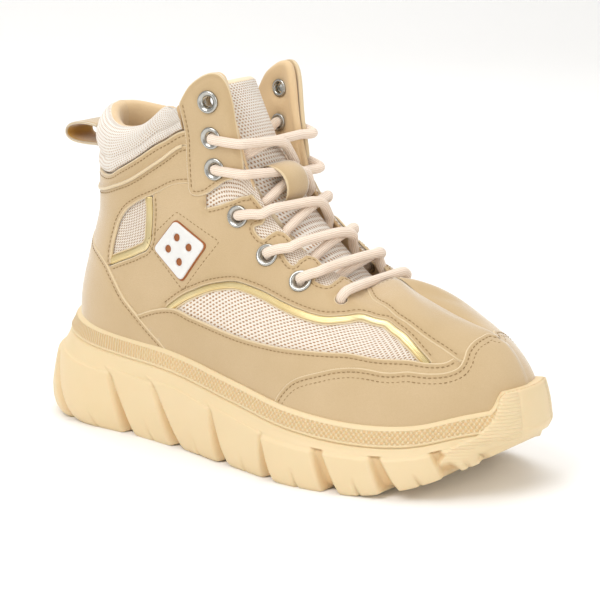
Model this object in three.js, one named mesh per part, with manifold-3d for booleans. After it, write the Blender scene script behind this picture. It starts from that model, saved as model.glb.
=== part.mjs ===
// A lace-up ankle boot for the right foot, with a chunky cup sole, in millimetres.
// X runs from the heel to the toe, Z is up, and the outer side of the foot (lateral) is -Y.
// The origin is on the floor, under the middle of the boot.
//
// Places on the upper are given by two shares, as on a shoemaker's flat pattern:
//   round: 0 at the middle of the toe, 1 at the middle of the heel, positive on the lateral side
//   up:    0 at the feather line inside the sole, 1 at the top line of the boot
import * as THREE from 'three';
import { mergeVertices } from 'three/addons/utils/BufferGeometryUtils.js';
import Module from 'manifold-3d';

const wasm = await Module();
wasm.setup();

// Driving sizes
const SOLE_LENGTH = 287;
const SOLE_HEIGHT = 60; // sole's upper edge at the back of the heel
const FOXING_HEIGHT = 10; // textured band round the top of the sole
const FOXING_WALL = 2.6; // its thickness at the top edge
const STRIP_HEIGHT = 7; // smooth band under the foxing, at the ball
const HEEL_FLARE = 16.5; // how far the lugs stand out behind the upper
const GROOVE_WIDTH = 9; // side groove at the floor
const GROOVE_DEPTH = 8.5;
const BUMPER_RISE = 8; // toe bumper above the foxing
const BUMPER_SWELL = 2.4;
const TOE_SPRING = 28;
const ARCH_RISE = 2;
const CUP_DEPTH = 6; // feather line below the sole's upper edge
const UPPER_LENGTH = 265;
const HEEL_SET = 17; // back of the upper from the back of the sole
const BALL_WIDTH = 98;
const HEEL_ROUND = 38;
const TOE_ROUND = 56;
const BOOT_HEIGHT = 188; // floor to the tops of the eyelet flaps
const COLLAR_WIDTH = 70;
const SIDE_SWELL = 2; // hollows and swellings of the quarter
const WALL = 2.2; // vamp and quarter underlay
const PADDED_WALL = 4.8; // ankle and flaps, with their padding
const PANEL = 1.2; // leather overlays
const CLEARANCE = 0.3;
const SLIVER = 0.06;
const SEAM_GAP = 0.7; // between two overlays, on the pattern
const INSOLE_THICKNESS = 4.5;
const COLLAR_PAD = 9; // the collar's roll, inwards
const COLLAR_SWELL = 1.2; // and outwards
const TONGUE_THICKNESS = 7;
const TONGUE_HEIGHT = 186;
const EYELET_OUTER = 10;
const EYELET_HOLE = 5.6;
const EYELET_RIM = 1.5;
const LACE = 5.6; // diameter of the round lace
const LACE_FLOAT = 1; // lace above the tongue's facets
const LOOP_BAND = 14; // width of the pull loop's tape
const LOOP_REACH = 26;
const TAPE = 1.6;
const BADGE_THICKNESS = 1.3;
const PIPING = 1.3;
const FOIL_WIDTH = 3;
const KEEPER_WIDTH = 15;
const KEEPER_THICKNESS = 1.5;
const KEEPER_ARCH = 14;

// The flat pattern: facets of the upper, and the pattern's scale in millimetres per share
const COLUMNS = 42;
const ROWS = 10;
const RIDGE_COLUMNS = 5; // from the toe to the front of the throat, each side
const RIDGE = RIDGE_COLUMNS / (COLUMNS / 2);
const ACROSS = 300;
const UP = 120;
const PANEL_OUT = 0;
const PANEL_IN = -PANEL;
const WALL_OUT = -PANEL - CLEARANCE;

// Plan of the lasted upper. along: share of UPPER_LENGTH from the heel; centre and half: of BALL_WIDTH
const PLAN = table('along centre half', [
  [0.0, 0.0, 0.347],
  [0.15, 0.0, 0.362],
  [0.33, -0.026, 0.378],
  [0.5, -0.046, 0.439],
  [0.66, -0.041, 0.5],
  [0.8, -0.005, 0.474],
  [0.92, 0.036, 0.418],
  [1.0, 0.061, 0.378],
]);

// Upper edge of the sole, its lug tops, and how far its side stands out.
// along: share of SOLE_LENGTH; edge and lug: of SOLE_HEIGHT; flare: of HEEL_FLARE
const SIDE = table('along edge lug flare', [
  [0.0, 1.0, 0.6, 1.0],
  [0.087, 0.917, 0.55, 0.68],
  [0.209, 0.842, 0.52, 0.42],
  [0.348, 0.8, 0.51, 0.37],
  [0.498, 0.708, 0.43, 0.43],
  [0.645, 0.608, 0.36, 0.4],
  [0.794, 0.567, 0.35, 0.33],
  [0.871, 0.6, 0.4, 0.32],
  [0.934, 0.683, 0.46, 0.32],
  [1.0, 0.733, 0.51, 0.32],
]);

// Levels of the sole's side, from the floor up. between: 0 floor to 1 lug top to 2 foxing's lower
// edge to 3 upper edge; out: share of the flare
const LEVELS = table('between out', [
  [0.0, 0.5],
  [0.1, 0.84],
  [0.4, 1.0],
  [1.0, 0.74],
  [1.85, 0.3],
  [2.0, 0.08],
  [2.12, 0.28],
  [3.0, 0.0],
]);

// Side grooves of the sole. top and foot: where round the sole a groove starts and ends
const GROOVES = table('top foot', [
  [0.889, 0.828],
  [0.736, 0.696],
  [0.648, 0.6],
  [0.536, 0.512],
  [0.448, 0.434],
  [0.368, 0.347],
  [0.289, 0.267],
  [0.205, 0.178],
]);

// Top line. reach: share of UPPER_LENGTH from the heel; gap: half opening, of COLLAR_WIDTH;
// height: of BOOT_HEIGHT; straight: 0 a full vamp curve, 1 a straight side
const TOP = table('round reach gap height straight', [
  [0.0, 0.883, 0.0, 0.399, 0.0],
  [0.08, 0.834, 0.0, 0.423, 0.0],
  [0.16, 0.774, 0.0, 0.457, 0.0],
  [0.24, 0.713, 0.0, 0.495, 0.0],
  [0.28, 0.687, 0.171, 0.479, 0.12],
  [0.33, 0.634, 0.214, 0.516, 0.22],
  [0.39, 0.57, 0.229, 0.58, 0.35],
  [0.45, 0.509, 0.257, 0.665, 0.5],
  [0.5, 0.468, 0.314, 0.75, 0.65],
  [0.55, 0.442, 0.364, 0.878, 0.85],
  [0.6, 0.415, 0.429, 1.0, 1.0],
  [0.66, 0.351, 0.471, 1.0, 1.0],
  [0.72, 0.302, 0.5, 0.931, 1.0],
  [0.79, 0.23, 0.5, 0.851, 1.0],
  [0.86, 0.155, 0.457, 0.83, 1.0],
  [0.92, 0.098, 0.329, 0.846, 1.0],
  [0.96, 0.064, 0.171, 0.862, 1.0],
  [1.0, 0.049, 0.0, 0.867, 1.0],
]);
const MIDLINE = table('round offset', [
  [0.0, 0.071],
  [0.24, 0.043],
  [0.5, 0.014],
  [0.7, 0.0],
  [1.0, 0.0],
]);

// Outward swell of the back and of the quarters, in shares of SIDE_SWELL
const SWELL = table('up heel side', [
  [0.0, 0.0, 0.0],
  [0.15, 0.75, 0.75],
  [0.35, -0.25, 0.25],
  [0.55, -1.25, -1.0],
  [0.75, -0.5, -1.0],
  [0.9, 0.5, 0.25],
  [1.0, 0.0, 0.0],
]);
const FULL_LATERAL = 2.15; // roundness of the vamp's section
const FULL_MEDIAL = 1.85;

// Seam lines on the pattern, as [round, up]
const COUNTER_SEAM = [
  [1.0, 0.43], [0.93, 0.432], [0.88, 0.415], [0.839, 0.395], [0.806, 0.359],
  [0.777, 0.305], [0.734, 0.205], [0.7, 0.145], [0.669, 0.093], [0.638, 0.046], [0.612, -0.1],
];
const GUARD_SEAM = [
  [0.7, 0.145], [0.674, 0.167], [0.633, 0.189], [0.598, 0.185], [0.558, 0.193], [0.51, 0.212],
  [0.44, 0.263], [0.4, 0.305], [0.355, 0.355], [0.326, 0.386], [0.281, 0.402], [0.239, 0.362],
  [0.208, 0.351], [0.181, 0.368], [0.163, 0.405],
];
const CAP_SEAM = [
  [0.448, -0.1], [0.44, 0.035], [0.43, 0.089], [0.414, 0.151], [0.37, 0.245], [0.341, 0.295],
  [0.296, 0.335], [0.254, 0.312], [0.209, 0.296], [0.183, 0.308], [0.158, 0.348],
  [0.148, 0.39], [0.135, 0.467], [0.111, 0.556], [0.078, 0.641], [0.035, 0.725], [0.0, 0.745],
];
const STRIP_SEAM = [
  [0.283, 1.1], [0.283, 0.95], [0.279, 0.834], [0.264, 0.722], [0.248, 0.602],
  [0.224, 0.525], [0.201, 0.475], [0.182, 0.445], [0.16, 0.425],
];
const COLLAR_SEAM = [
  [1.0, 0.74], [0.95, 0.747], [0.9, 0.764], [0.852, 0.788], [0.826, 0.82], [0.787, 0.848],
  [0.751, 0.85], [0.713, 0.834], [0.664, 0.811],
];
const TRIM_SEAM = [
  [1.0, 0.652], [0.95, 0.655], [0.922, 0.664], [0.88, 0.695], [0.824, 0.741], [0.772, 0.765],
  [0.723, 0.764], [0.66, 0.757],
];
const BAND_SEAM = [
  [0.653, 0.62], [0.696, 0.625], [0.733, 0.629], [0.772, 0.633], [0.798, 0.612], [0.812, 0.57],
  [0.817, 0.5], [0.812, 0.42], [0.802, 0.36],
];
const FLAP_BACK = [
  [0.641, 0.602], [0.653, 0.703], [0.661, 0.8], [0.684, 0.985],
];
const FLAP_EDGE = [
  [0.684, 0.985], [0.651, 1.1], [0.585, 1.1], [0.563, 0.985], [0.543, 0.938], [0.525, 0.9],
  [0.551, 0.764], [0.595, 0.63], [0.622, 0.579], [0.634, 0.582], [0.641, 0.602],
];
const THROAT = [
  [0.53, 1.1], [0.508, 0.977], [0.495, 0.942], [0.475, 0.9], [0.457, 0.877], [0.432, 0.885],
  [0.407, 0.892], [0.374, 0.938], [0.341, 0.972], [0.315, 1.1],
];
const TABS = [
  [0.63, 0.56], [0.606, 0.55], [0.588, 0.578], [0.556, 0.66], [0.52, 0.784], [0.499, 0.86],
  [0.477, 0.86], [0.48, 0.77], [0.495, 0.69], [0.482, 0.685], [0.468, 0.74], [0.446, 0.835],
  [0.432, 0.865], [0.418, 0.86], [0.424, 0.795], [0.436, 0.71], [0.425, 0.695], [0.407, 0.78],
  [0.388, 0.88], [0.373, 0.912], [0.362, 0.885], [0.368, 0.799], [0.378, 0.715], [0.362, 0.735],
  [0.342, 0.84], [0.322, 0.965], [0.305, 1.1],
];
const WINDOW_TOP = [
  [0.645, 0.189], [0.621, 0.239], [0.588, 0.297], [0.551, 0.359], [0.512, 0.418], [0.473, 0.452],
  [0.437, 0.469], [0.404, 0.49], [0.367, 0.525], [0.331, 0.595], [0.291, 0.68], [0.271, 0.65],
  [0.252, 0.552], [0.229, 0.452], [0.206, 0.358],
];
const PIPING_LINE = [[0.628, 0.224], ...WINDOW_TOP.slice(1, -1), [0.216, 0.4]];
const REAR_WINDOW = [
  [0.728, 0.622], [0.722, 0.585], [0.706, 0.425], [0.716, 0.398], [0.779, 0.36], [0.792, 0.35],
];
const BADGE = [[0.653, 0.494], [0.59, 0.432], [0.623, 0.301], [0.684, 0.394]];

const EYELETS = table('round up', [
  [0.621, 0.9],
  [0.611, 0.784],
  [0.598, 0.692],
  [0.535, 0.645],
  [0.468, 0.629],
  [0.405, 0.641],
]);
// Where the lace passes over the throat's edge beside each eyelet, and beside the plain hole
const LACE_EDGE = [
  [0.57, 1.0], [0.535, 0.995], [0.506, 0.97], [0.478, 0.905], [0.436, 0.885], [0.38, 0.93], [0.332, 0.975],
];
const COLLAR_FRONT = [0.669, 0.69]; // round, at the collar's foot and at its top
const KEEPER_SPAN = [0.438, 0.566]; // along the tongue
const KEEPER_SHIFT = -0.2; // across it
const KEEPER_SEAT = 1.5; // above the tongue's facets
const PLAIN_HOLE = { round: 0.334, up: 0.703 };

// Tongue's upper face. along: share from the vamp to the top; reach: share of UPPER_LENGTH;
// height: of TONGUE_HEIGHT; shift and half: of COLLAR_WIDTH; crown: of TONGUE_THICKNESS
const TONGUE = table('along reach height shift half crown', [
  [0.0, 0.735, 0.461, 0.03, 0.2, 0.5],
  [0.12, 0.66, 0.485, 0.02, 0.22, 0.7],
  [0.25, 0.59, 0.556, 0.01, 0.235, 0.8],
  [0.38, 0.52, 0.645, 0.0, 0.25, 0.8],
  [0.52, 0.47, 0.735, -0.02, 0.27, 0.8],
  [0.66, 0.437, 0.83, -0.03, 0.275, 0.9],
  [0.82, 0.417, 0.92, -0.045, 0.27, 1.1],
  [1.0, 0.4, 1.0, -0.05, 0.255, 1.3],
]);

function table(names, rows) {
  const columns = names.split(' ');
  const values = {};
  columns.forEach((name, k) => {
    values[name] = rows.map((row) => row[k]);
  });
  return values;
}

// Smooth curve through a table's column, held level past its ends
function curve(xs, ys, at) {
  const x = Math.min(Math.max(at, xs[0]), xs[xs.length - 1]);
  let k = 0;
  while (k < xs.length - 2 && x > xs[k + 1]) k += 1;
  const step = (i) => (ys[i + 1] - ys[i]) / (xs[i + 1] - xs[i]);
  const slope = (i) => {
    if (i === 0) return step(0);
    if (i === xs.length - 1) return step(i - 1);
    const before = xs[i] - xs[i - 1];
    const after = xs[i + 1] - xs[i];
    return (step(i - 1) * after + step(i) * before) / (before + after);
  };
  const h = xs[k + 1] - xs[k];
  const t = (x - xs[k]) / h;
  const t2 = t * t;
  const t3 = t2 * t;
  return (2 * t3 - 3 * t2 + 1) * ys[k] + (t3 - 2 * t2 + t) * h * slope(k)
    + (3 * t2 - 2 * t3) * ys[k + 1] + (t3 - t2) * h * slope(k + 1);
}

const clamp = (value) => Math.min(Math.max(value, 0), 1);
const mix = (a, b, t) => a + (b - a) * t;
const smooth = (value, from, to) => {
  const t = clamp((value - from) / (to - from));
  return t * t * (3 - 2 * t);
};
const mirrored = (line) => line.map(([round, up]) => [-round, up]);
const reversed = (line) => [...line].reverse();

// Half breadth of the plan, rounded off at heel and toe
function planY(x, side) {
  const along = (x - HEEL_SET) / UPPER_LENGTH;
  const heel = clamp((HEEL_SET + HEEL_ROUND - x) / HEEL_ROUND);
  const toe = clamp((x - (HEEL_SET + UPPER_LENGTH - TOE_ROUND)) / TOE_ROUND);
  const ends = (1 - heel ** 2.2) ** (1 / 2.2) * (1 - toe ** 2.25) ** (1 / 2.25);
  const centre = curve(PLAN.along, PLAN.centre, along) * BALL_WIDTH;
  return centre - side * curve(PLAN.along, PLAN.half, along) * BALL_WIDTH * ends;
}

const soleEdge = (x) => curve(SIDE.along, SIDE.edge, x / SOLE_LENGTH) * SOLE_HEIGHT;
const footbed = (x) => soleEdge(x) - CUP_DEPTH;

// A point of the upper's outer face
function upperPoint(round, up) {
  const side = Math.sign(round);
  const a = Math.abs(round);
  const xFoot = HEEL_SET + UPPER_LENGTH * (1 + Math.cos(Math.PI * a)) / 2;
  const yFoot = planY(xFoot, side);
  const zFoot = footbed(xFoot);
  const xTop = HEEL_SET + curve(TOP.round, TOP.reach, a) * UPPER_LENGTH;
  const gap = a <= RIDGE ? 0 : Math.max(curve(TOP.round, TOP.gap, a), 0) * COLLAR_WIDTH;
  const yTop = curve(MIDLINE.round, MIDLINE.offset, a) * COLLAR_WIDTH - side * gap;
  const zTop = curve(TOP.round, TOP.height, a) * BOOT_HEIGHT;
  const straight = clamp(curve(TOP.round, TOP.straight, a));
  const turn = up * Math.PI / 2;
  const power = 2 / (side > 0 ? FULL_LATERAL : FULL_MEDIAL);
  const rise = mix(Math.sin(turn) ** power, up, straight);
  const inset = mix(1 - Math.max(Math.cos(turn), 0) ** power, up, straight);
  const facing = Math.PI / 2 * clamp((a - 0.72) / 0.28);
  const swell = curve(SWELL.up, SWELL.heel, up) * Math.sin(facing) ** 2
    + curve(SWELL.up, SWELL.side, up) * Math.cos(facing) ** 2;
  const out = swell * SIDE_SWELL * clamp((a - 0.35) / 0.25);
  return new THREE.Vector3(
    mix(xFoot, xTop, inset) - out * Math.sin(facing),
    mix(yFoot, yTop, inset) - side * out * Math.cos(facing),
    mix(zFoot, zTop, rise),
  );
}

// The upper as a grid of points and outward normals. The two sides share their points
// at the heel and along the ridge of the vamp.
const GRID = [];
const NORMALS = [];
for (let i = 0; i <= COLUMNS; i += 1) {
  GRID.push([]);
  NORMALS.push([]);
  for (let j = 0; j <= ROWS; j += 1) {
    const isHeel = i === 0 || i === COLUMNS;
    GRID[i].push(upperPoint(isHeel ? 1 : 2 * i / COLUMNS - 1, j / ROWS));
    NORMALS[i].push(new THREE.Vector3());
  }
}
for (let k = 0; k <= RIDGE_COLUMNS; k += 1) {
  const left = COLUMNS / 2 - k;
  const right = COLUMNS / 2 + k;
  GRID[left][ROWS] = GRID[right][ROWS];
  NORMALS[left][ROWS] = NORMALS[right][ROWS];
}
NORMALS[COLUMNS] = NORMALS[0];
for (let i = 0; i < COLUMNS; i += 1) {
  for (let j = 0; j < ROWS; j += 1) {
    const cell = [[i, j], [i + 1, j], [i + 1, j + 1], [i, j + 1]];
    for (const [a, b, c] of [[0, 1, 2], [0, 2, 3]]) {
      const [p, q, r] = [a, b, c].map((k) => GRID[cell[k][0]][cell[k][1]]);
      const face = q.clone().sub(p).cross(r.clone().sub(p));
      for (const k of [a, b, c]) NORMALS[cell[k][0]][cell[k][1]].add(face);
    }
  }
}
const medial = Math.round(COLUMNS / 4);
const outside = GRID[medial][1].clone().sub(GRID[COLUMNS - medial][1]);
const flip = Math.sign(NORMALS[medial][1].dot(outside));
for (const column of NORMALS) column[0].z = 0; // the feather line lies flat in the sole
for (const normal of new Set(NORMALS.flat())) normal.multiplyScalar(flip).normalize();

// A point of the pattern, on the grid's own facets, lifted off them along the normals
function place(round, up, lift) {
  const wrapped = round > 1 ? round - 2 : round;
  const s = clamp((wrapped + 1) / 2) * COLUMNS;
  const t = clamp(up) * ROWS;
  const i = Math.min(Math.floor(s), COLUMNS - 1);
  const j = Math.min(Math.floor(t), ROWS - 1);
  const a = s - i;
  const b = t - j;
  const corners = a > b
    ? [[i, j, 1 - a], [i + 1, j, a - b], [i + 1, j + 1, b]]
    : [[i, j, 1 - b], [i, j + 1, b - a], [i + 1, j + 1, a]];
  const point = new THREE.Vector3();
  for (const [ci, cj, share] of corners) {
    const height = typeof lift === 'function' ? lift(Math.abs(2 * ci / COLUMNS - 1), cj / ROWS) : lift;
    point.addScaledVector(GRID[ci][cj], share).addScaledVector(NORMALS[ci][cj], share * height);
  }
  return point;
}

function normalAt(round, up) {
  return place(round, up, 1).sub(place(round, up, 0)).normalize();
}

// Solids and geometries
function solidOf(geometry, faceID) {
  geometry.deleteAttribute('normal');
  geometry.deleteAttribute('uv');
  const merged = geometry.type === 'BufferGeometry' ? geometry : mergeVertices(geometry, 1e-4);
  return new wasm.Manifold(new wasm.Mesh({
    numProp: 3,
    vertProperties: Float32Array.from(merged.attributes.position.array),
    triVerts: Uint32Array.from(merged.index.array),
    ...(faceID ? { faceID } : {}),
  }));
}

// A geometry of closed faces, turned so that they point out
function indexed(points, faces) {
  let volume = 0;
  for (const [a, b, c] of faces) volume += points[a].dot(points[b].clone().cross(points[c]));
  const outwards = volume > 0 ? faces : faces.map(([a, b, c]) => [a, c, b]);
  const geometry = new THREE.BufferGeometry();
  const positions = points.flatMap((p) => [p.x, p.y, p.z]);
  geometry.setAttribute('position', new THREE.Float32BufferAttribute(positions, 3));
  geometry.setIndex(outwards.flat());
  return geometry;
}

// The solid's geometry, without the slivers that cutting leaves
function geometryOf(solid) {
  const mesh = solid.asOriginal().simplify(SLIVER).getMesh();
  const geometry = new THREE.BufferGeometry();
  geometry.setAttribute('position', new THREE.BufferAttribute(mesh.vertProperties, 3));
  geometry.setIndex(new THREE.BufferAttribute(mesh.triVerts, 1));
  return geometry;
}

// Faces between rings of points, closed round, with the first and last ring filled by fill
function lofted(rings, fill) {
  const n = rings[0].length;
  const faces = [];
  for (let k = 0; k + 1 < rings.length; k += 1) {
    for (let i = 0; i < n; i += 1) {
      const a = k * n + i;
      const b = k * n + (i + 1) % n;
      faces.push([a, b, b + n], [a, b + n, a + n]);
    }
  }
  const last = (rings.length - 1) * n;
  for (const [a, b, c] of fill(n)) {
    faces.push([a, c, b], [last + a, last + b, last + c]);
  }
  return indexed(rings.flat(), faces);
}

// Fill of a ring that starts at one end of a long form: strips from side to side
function strips(n) {
  const faces = [];
  for (let k = 0; 2 * k + 1 < n; k += 1) {
    const a = k;
    const b = (n - k) % n;
    if (b !== a) faces.push([a, a + 1, b]);
    if (n - k - 1 !== a + 1) faces.push([a + 1, n - k - 1, b]);
  }
  return faces;
}

// Fill of a section: a fan
const fan = (n) => Array.from({ length: n - 2 }, (_, k) => [0, k + 1, k + 2]);

// The pattern as a slab with the grid's facets, from one heel edge or from one toe edge
function patternSlab(heelCentred) {
  const points = [];
  for (let level = 0; level < 2; level += 1) {
    for (let i = 0; i <= COLUMNS; i += 1) {
      for (let j = 0; j <= ROWS; j += 1) {
        const round = 2 * i / COLUMNS - (heelCentred ? 0 : 1);
        points.push(new THREE.Vector3(round * ACROSS, j / ROWS * UP, level));
      }
    }
  }
  const id = (i, j, level) => (level * (COLUMNS + 1) + i) * (ROWS + 1) + j;
  const faces = [];
  const wall = (a, b) => {
    faces.push([id(...a, 0), id(...b, 0), id(...b, 1)], [id(...a, 0), id(...b, 1), id(...a, 1)]);
  };
  for (let i = 0; i < COLUMNS; i += 1) {
    for (let j = 0; j < ROWS; j += 1) {
      faces.push([id(i, j, 1), id(i + 1, j, 1), id(i + 1, j + 1, 1)]);
      faces.push([id(i, j, 1), id(i + 1, j + 1, 1), id(i, j + 1, 1)]);
      faces.push([id(i, j, 0), id(i + 1, j + 1, 0), id(i + 1, j, 0)]);
      faces.push([id(i, j, 0), id(i, j + 1, 0), id(i + 1, j + 1, 0)]);
    }
    wall([i, 0], [i + 1, 0]);
    wall([i + 1, ROWS], [i, ROWS]);
  }
  for (let j = 0; j < ROWS; j += 1) {
    wall([0, j + 1], [0, j]);
    wall([COLUMNS, j], [COLUMNS, j + 1]);
  }
  return solidOf(indexed(points, faces), Uint32Array.from(faces, (_, k) => k));
}
const toeSlab = patternSlab(false);
const heelSlab = patternSlab(true);

function prism(outline) {
  const shape = new THREE.Shape(outline.map(([round, up]) => new THREE.Vector2(round * ACROSS, up * UP)));
  const geometry = new THREE.ExtrudeGeometry(shape, { depth: 3, bevelEnabled: false });
  geometry.translate(0, 0, -1);
  return solidOf(geometry);
}

// A pattern line moved sideways on the pattern, to its left when distance is positive
function moved(line, distance) {
  return line.map(([round, up], k) => {
    const before = line[Math.max(k - 1, 0)];
    const after = line[Math.min(k + 1, line.length - 1)];
    const dx = (after[0] - before[0]) * ACROSS;
    const dy = (after[1] - before[1]) * UP;
    const length = Math.hypot(dx, dy);
    const onMiddle = round === 0 || round === 1;
    const sideways = onMiddle ? 0 : dy / length * distance / ACROSS;
    return [round - sideways, up + dx / length * distance / UP];
  });
}

// A sheet cut from the pattern and laid on the upper, between two lifts off its outer face
function sheet(outlines, holes, inner, outer, heelCentred = false) {
  let flat = heelCentred ? heelSlab : toeSlab;
  flat = flat.intersect(prism(outlines));
  for (const hole of holes) flat = flat.subtract(prism(hole));
  const mesh = flat.getMesh();
  const points = [];
  const known = new Map();
  const ids = [];
  const onSeam = [];
  const tiny = 1e-4;
  for (let k = 0; k < mesh.vertProperties.length; k += 3) {
    const [x, y, level] = mesh.vertProperties.slice(k, k + 3);
    const round = x / ACROSS;
    const up = y / UP;
    const point = place(round, up, level > 0.5 ? outer : inner);
    const isHeel = !heelCentred && Math.abs(round) > 1 - tiny;
    const isRidge = up > 1 - tiny && Math.abs(round) < RIDGE + tiny;
    onSeam.push([isHeel, isRidge]);
    const key = point.toArray().map((c) => Math.round(c * 2000)).join();
    if (!known.has(key)) {
      known.set(key, points.length);
      points.push(point);
    }
    ids.push(known.get(key));
  }
  const faces = [];
  for (let k = 0; k < mesh.triVerts.length; k += 3) {
    const corners = [...mesh.triVerts.slice(k, k + 3)];
    const face = corners.map((c) => ids[c]);
    const isJoined = [0, 1].some((which) => corners.every((c) => onSeam[c][which]));
    if (!isJoined && new Set(face).size === 3) faces.push(face);
  }
  return geometryOf(solidOf(indexed(points, faces)));
}

// A round hole on the pattern
function holeAt({ round, up }, diameter) {
  const step = 0.01;
  const along = upperPoint(round + step, up).sub(upperPoint(round - step, up)).divideScalar(2 * step);
  const rising = upperPoint(round, up + step).sub(upperPoint(round, up - step)).divideScalar(2 * step);
  const length = along.length();
  const slant = rising.dot(along) / length;
  const height = Math.sqrt(Math.max(rising.lengthSq() - slant * slant, 1));
  const corners = 6;
  return Array.from({ length: corners }, (_, k) => {
    const angle = 2 * Math.PI * (k + 0.5) / corners;
    const dUp = diameter / 2 * Math.sin(angle) / height;
    const dRound = (diameter / 2 * Math.cos(angle) - dUp * slant) / length;
    return [round + dRound, up + dUp];
  });
}

const wallIn = (round, up) => {
  const padding = smooth(round, 0.45, 0.6) * smooth(up, 0.3, 0.5);
  return WALL_OUT - mix(WALL, PADDED_WALL, padding);
};

const group = new THREE.Group();

const MATERIALS = {
  nubuck: { color: 0xc9ab80, roughness: 0.85, metalness: 0 },
  mesh: { color: 0xe6d2bb, roughness: 0.9, metalness: 0 },
  rubber: { color: 0xf0d09a, roughness: 0.6, metalness: 0 },
  lining: { color: 0xe4c491, roughness: 0.9, metalness: 0 },
  lace: { color: 0xdcbfa2, roughness: 0.9, metalness: 0 },
  gold: { color: 0xd2b25e, roughness: 0.3, metalness: 0.9 },
  steel: { color: 0xb9b9b4, roughness: 0.25, metalness: 1 },
  badge: { color: 0xf2f1ec, roughness: 0.4, metalness: 0 },
};

function add(name, geometry, material) {
  const solid = geometry.clone();
  solid.deleteAttribute('normal');
  solid.deleteAttribute('uv');
  const mesh = new THREE.Mesh(solid, new THREE.MeshStandardMaterial({
    ...MATERIALS[material],
    flatShading: true,
  }));
  mesh.name = name;
  group.add(mesh);
  return mesh;
}

// Sole: rings from the floor to its upper edge, hollowed for the upper, with side grooves
function soleFloor(x) {
  const s = x / SOLE_LENGTH;
  const spring = clamp((s - 0.739) / 0.261) ** 2 * TOE_SPRING;
  const arch = Math.sin(Math.PI * clamp((s - 0.34) / 0.2)) ** 2 * ARCH_RISE;
  return spring + arch;
}

function outward(round) {
  const step = 0.004;
  const wrap = (r) => (r > 1 ? r - 2 : r < -1 ? r + 2 : r);
  const before = upperPoint(wrap(round - step), 0);
  const after = upperPoint(wrap(round + step), 0);
  return new THREE.Vector3(before.y - after.y, after.x - before.x, 0).normalize();
}

function soleSide(round, between, out) {
  const foot = upperPoint(round, 0);
  const s = foot.x / SOLE_LENGTH;
  const bumper = 1 - smooth(Math.abs(round), 0.1, 0.15);
  const flare = curve(SIDE.along, SIDE.flare, (foot.x - HEEL_SET * clamp(1 - s * 4)) / SOLE_LENGTH) * HEEL_FLARE;
  const reach = mix(FOXING_WALL, flare, out) + BUMPER_SWELL * bumper * clamp(between * 2);
  const point = foot.addScaledVector(outward(round), reach);
  const edge = soleEdge(point.x) + BUMPER_RISE * bumper;
  const foxing = soleEdge(point.x) - FOXING_HEIGHT;
  const lug = Math.min(curve(SIDE.along, SIDE.lug, point.x / SOLE_LENGTH) * SOLE_HEIGHT, foxing - STRIP_HEIGHT / 2);
  const floor = soleFloor(point.x);
  const heights = [floor, lug, foxing, edge];
  const k = Math.min(Math.floor(between), 2);
  point.z = mix(heights[k], heights[k + 1], between - k);
  return point;
}

const SOLE_COLUMNS = 64;
const soleRounds = Array.from({ length: SOLE_COLUMNS }, (_, k) => {
  const t = 2 * k / SOLE_COLUMNS;
  return t <= 1 ? t : t - 2;
});

function soleBlock() {
  const rings = LEVELS.between.map((between, k) => (
    soleRounds.map((round) => soleSide(round, between, LEVELS.out[k]))
  ));
  return solidOf(lofted(rings, strips));
}

// The space that the upper takes in the sole
function cupSpace() {
  const rounds = Array.from({ length: COLUMNS }, (_, k) => {
    const t = 2 * k / COLUMNS;
    return t <= 1 ? t : t - 2;
  });
  const rows = Math.ceil(ROWS / 2);
  const floor = rounds.map((round) => place(round, 0, CLEARANCE));
  for (const point of floor) point.z = footbed(point.x) - CLEARANCE * 1.5;
  const rings = [floor];
  for (let j = 1; j <= rows; j += 1) {
    rings.push(rounds.map((round) => place(round, j / ROWS, CLEARANCE)));
  }
  return solidOf(lofted(rings, strips));
}

// A groove: a three-sided wedge from the lug top down past the floor
function groove(side, top, foot) {
  const section = (round, between, width, depth, out) => {
    const point = soleSide(round, between, out);
    const normal = outward(round);
    const along = new THREE.Vector3(-normal.y, normal.x, 0);
    const shift = (across, deep) => point.clone().addScaledVector(along, across).addScaledVector(normal, deep);
    return [shift(-width, GROOVE_DEPTH), shift(width, GROOVE_DEPTH), shift(0, -depth)];
  };
  const start = section(side * top, 1, GROOVE_WIDTH * 0.4, 0.6, 0.7);
  const end = section(side * foot, 0, GROOVE_WIDTH, GROOVE_DEPTH, 0.84);
  const rings = [0, 1.12].map((t) => start.map((p, k) => p.clone().lerp(end[k], t)));
  return solidOf(lofted(rings, fan));
}

function sole() {
  let solid = soleBlock().subtract(cupSpace());
  for (const side of [1, -1]) {
    GROOVES.top.forEach((top, k) => {
      solid = solid.subtract(groove(side, top, GROOVES.foot[k]));
    });
  }
  return geometryOf(solid);
}

// Insole: a flat board that lies on the cup's floor inside the upper
function insole() {
  const inset = wallIn(0, 0) - 3 * CLEARANCE;
  const rings = [0, INSOLE_THICKNESS].map((height) => (
    Array.from({ length: COLUMNS }, (_, k) => {
      const t = 2 * k / COLUMNS;
      const round = t <= 1 ? t : t - 2;
      const point = upperPoint(round, 0);
      point.addScaledVector(outward(round), inset);
      point.z = footbed(point.x) + height;
      return point;
    })
  ));
  return geometryOf(solidOf(lofted(rings, strips)));
}

const eyeletHoles = (side) => EYELETS.round.map((round, k) => (
  holeAt({ round: side * round, up: EYELETS.up[k] }, EYELET_HOLE)
));
const plainHole = (side) => holeAt({ round: side * PLAIN_HOLE.round, up: PLAIN_HOLE.up }, EYELET_HOLE);

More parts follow.
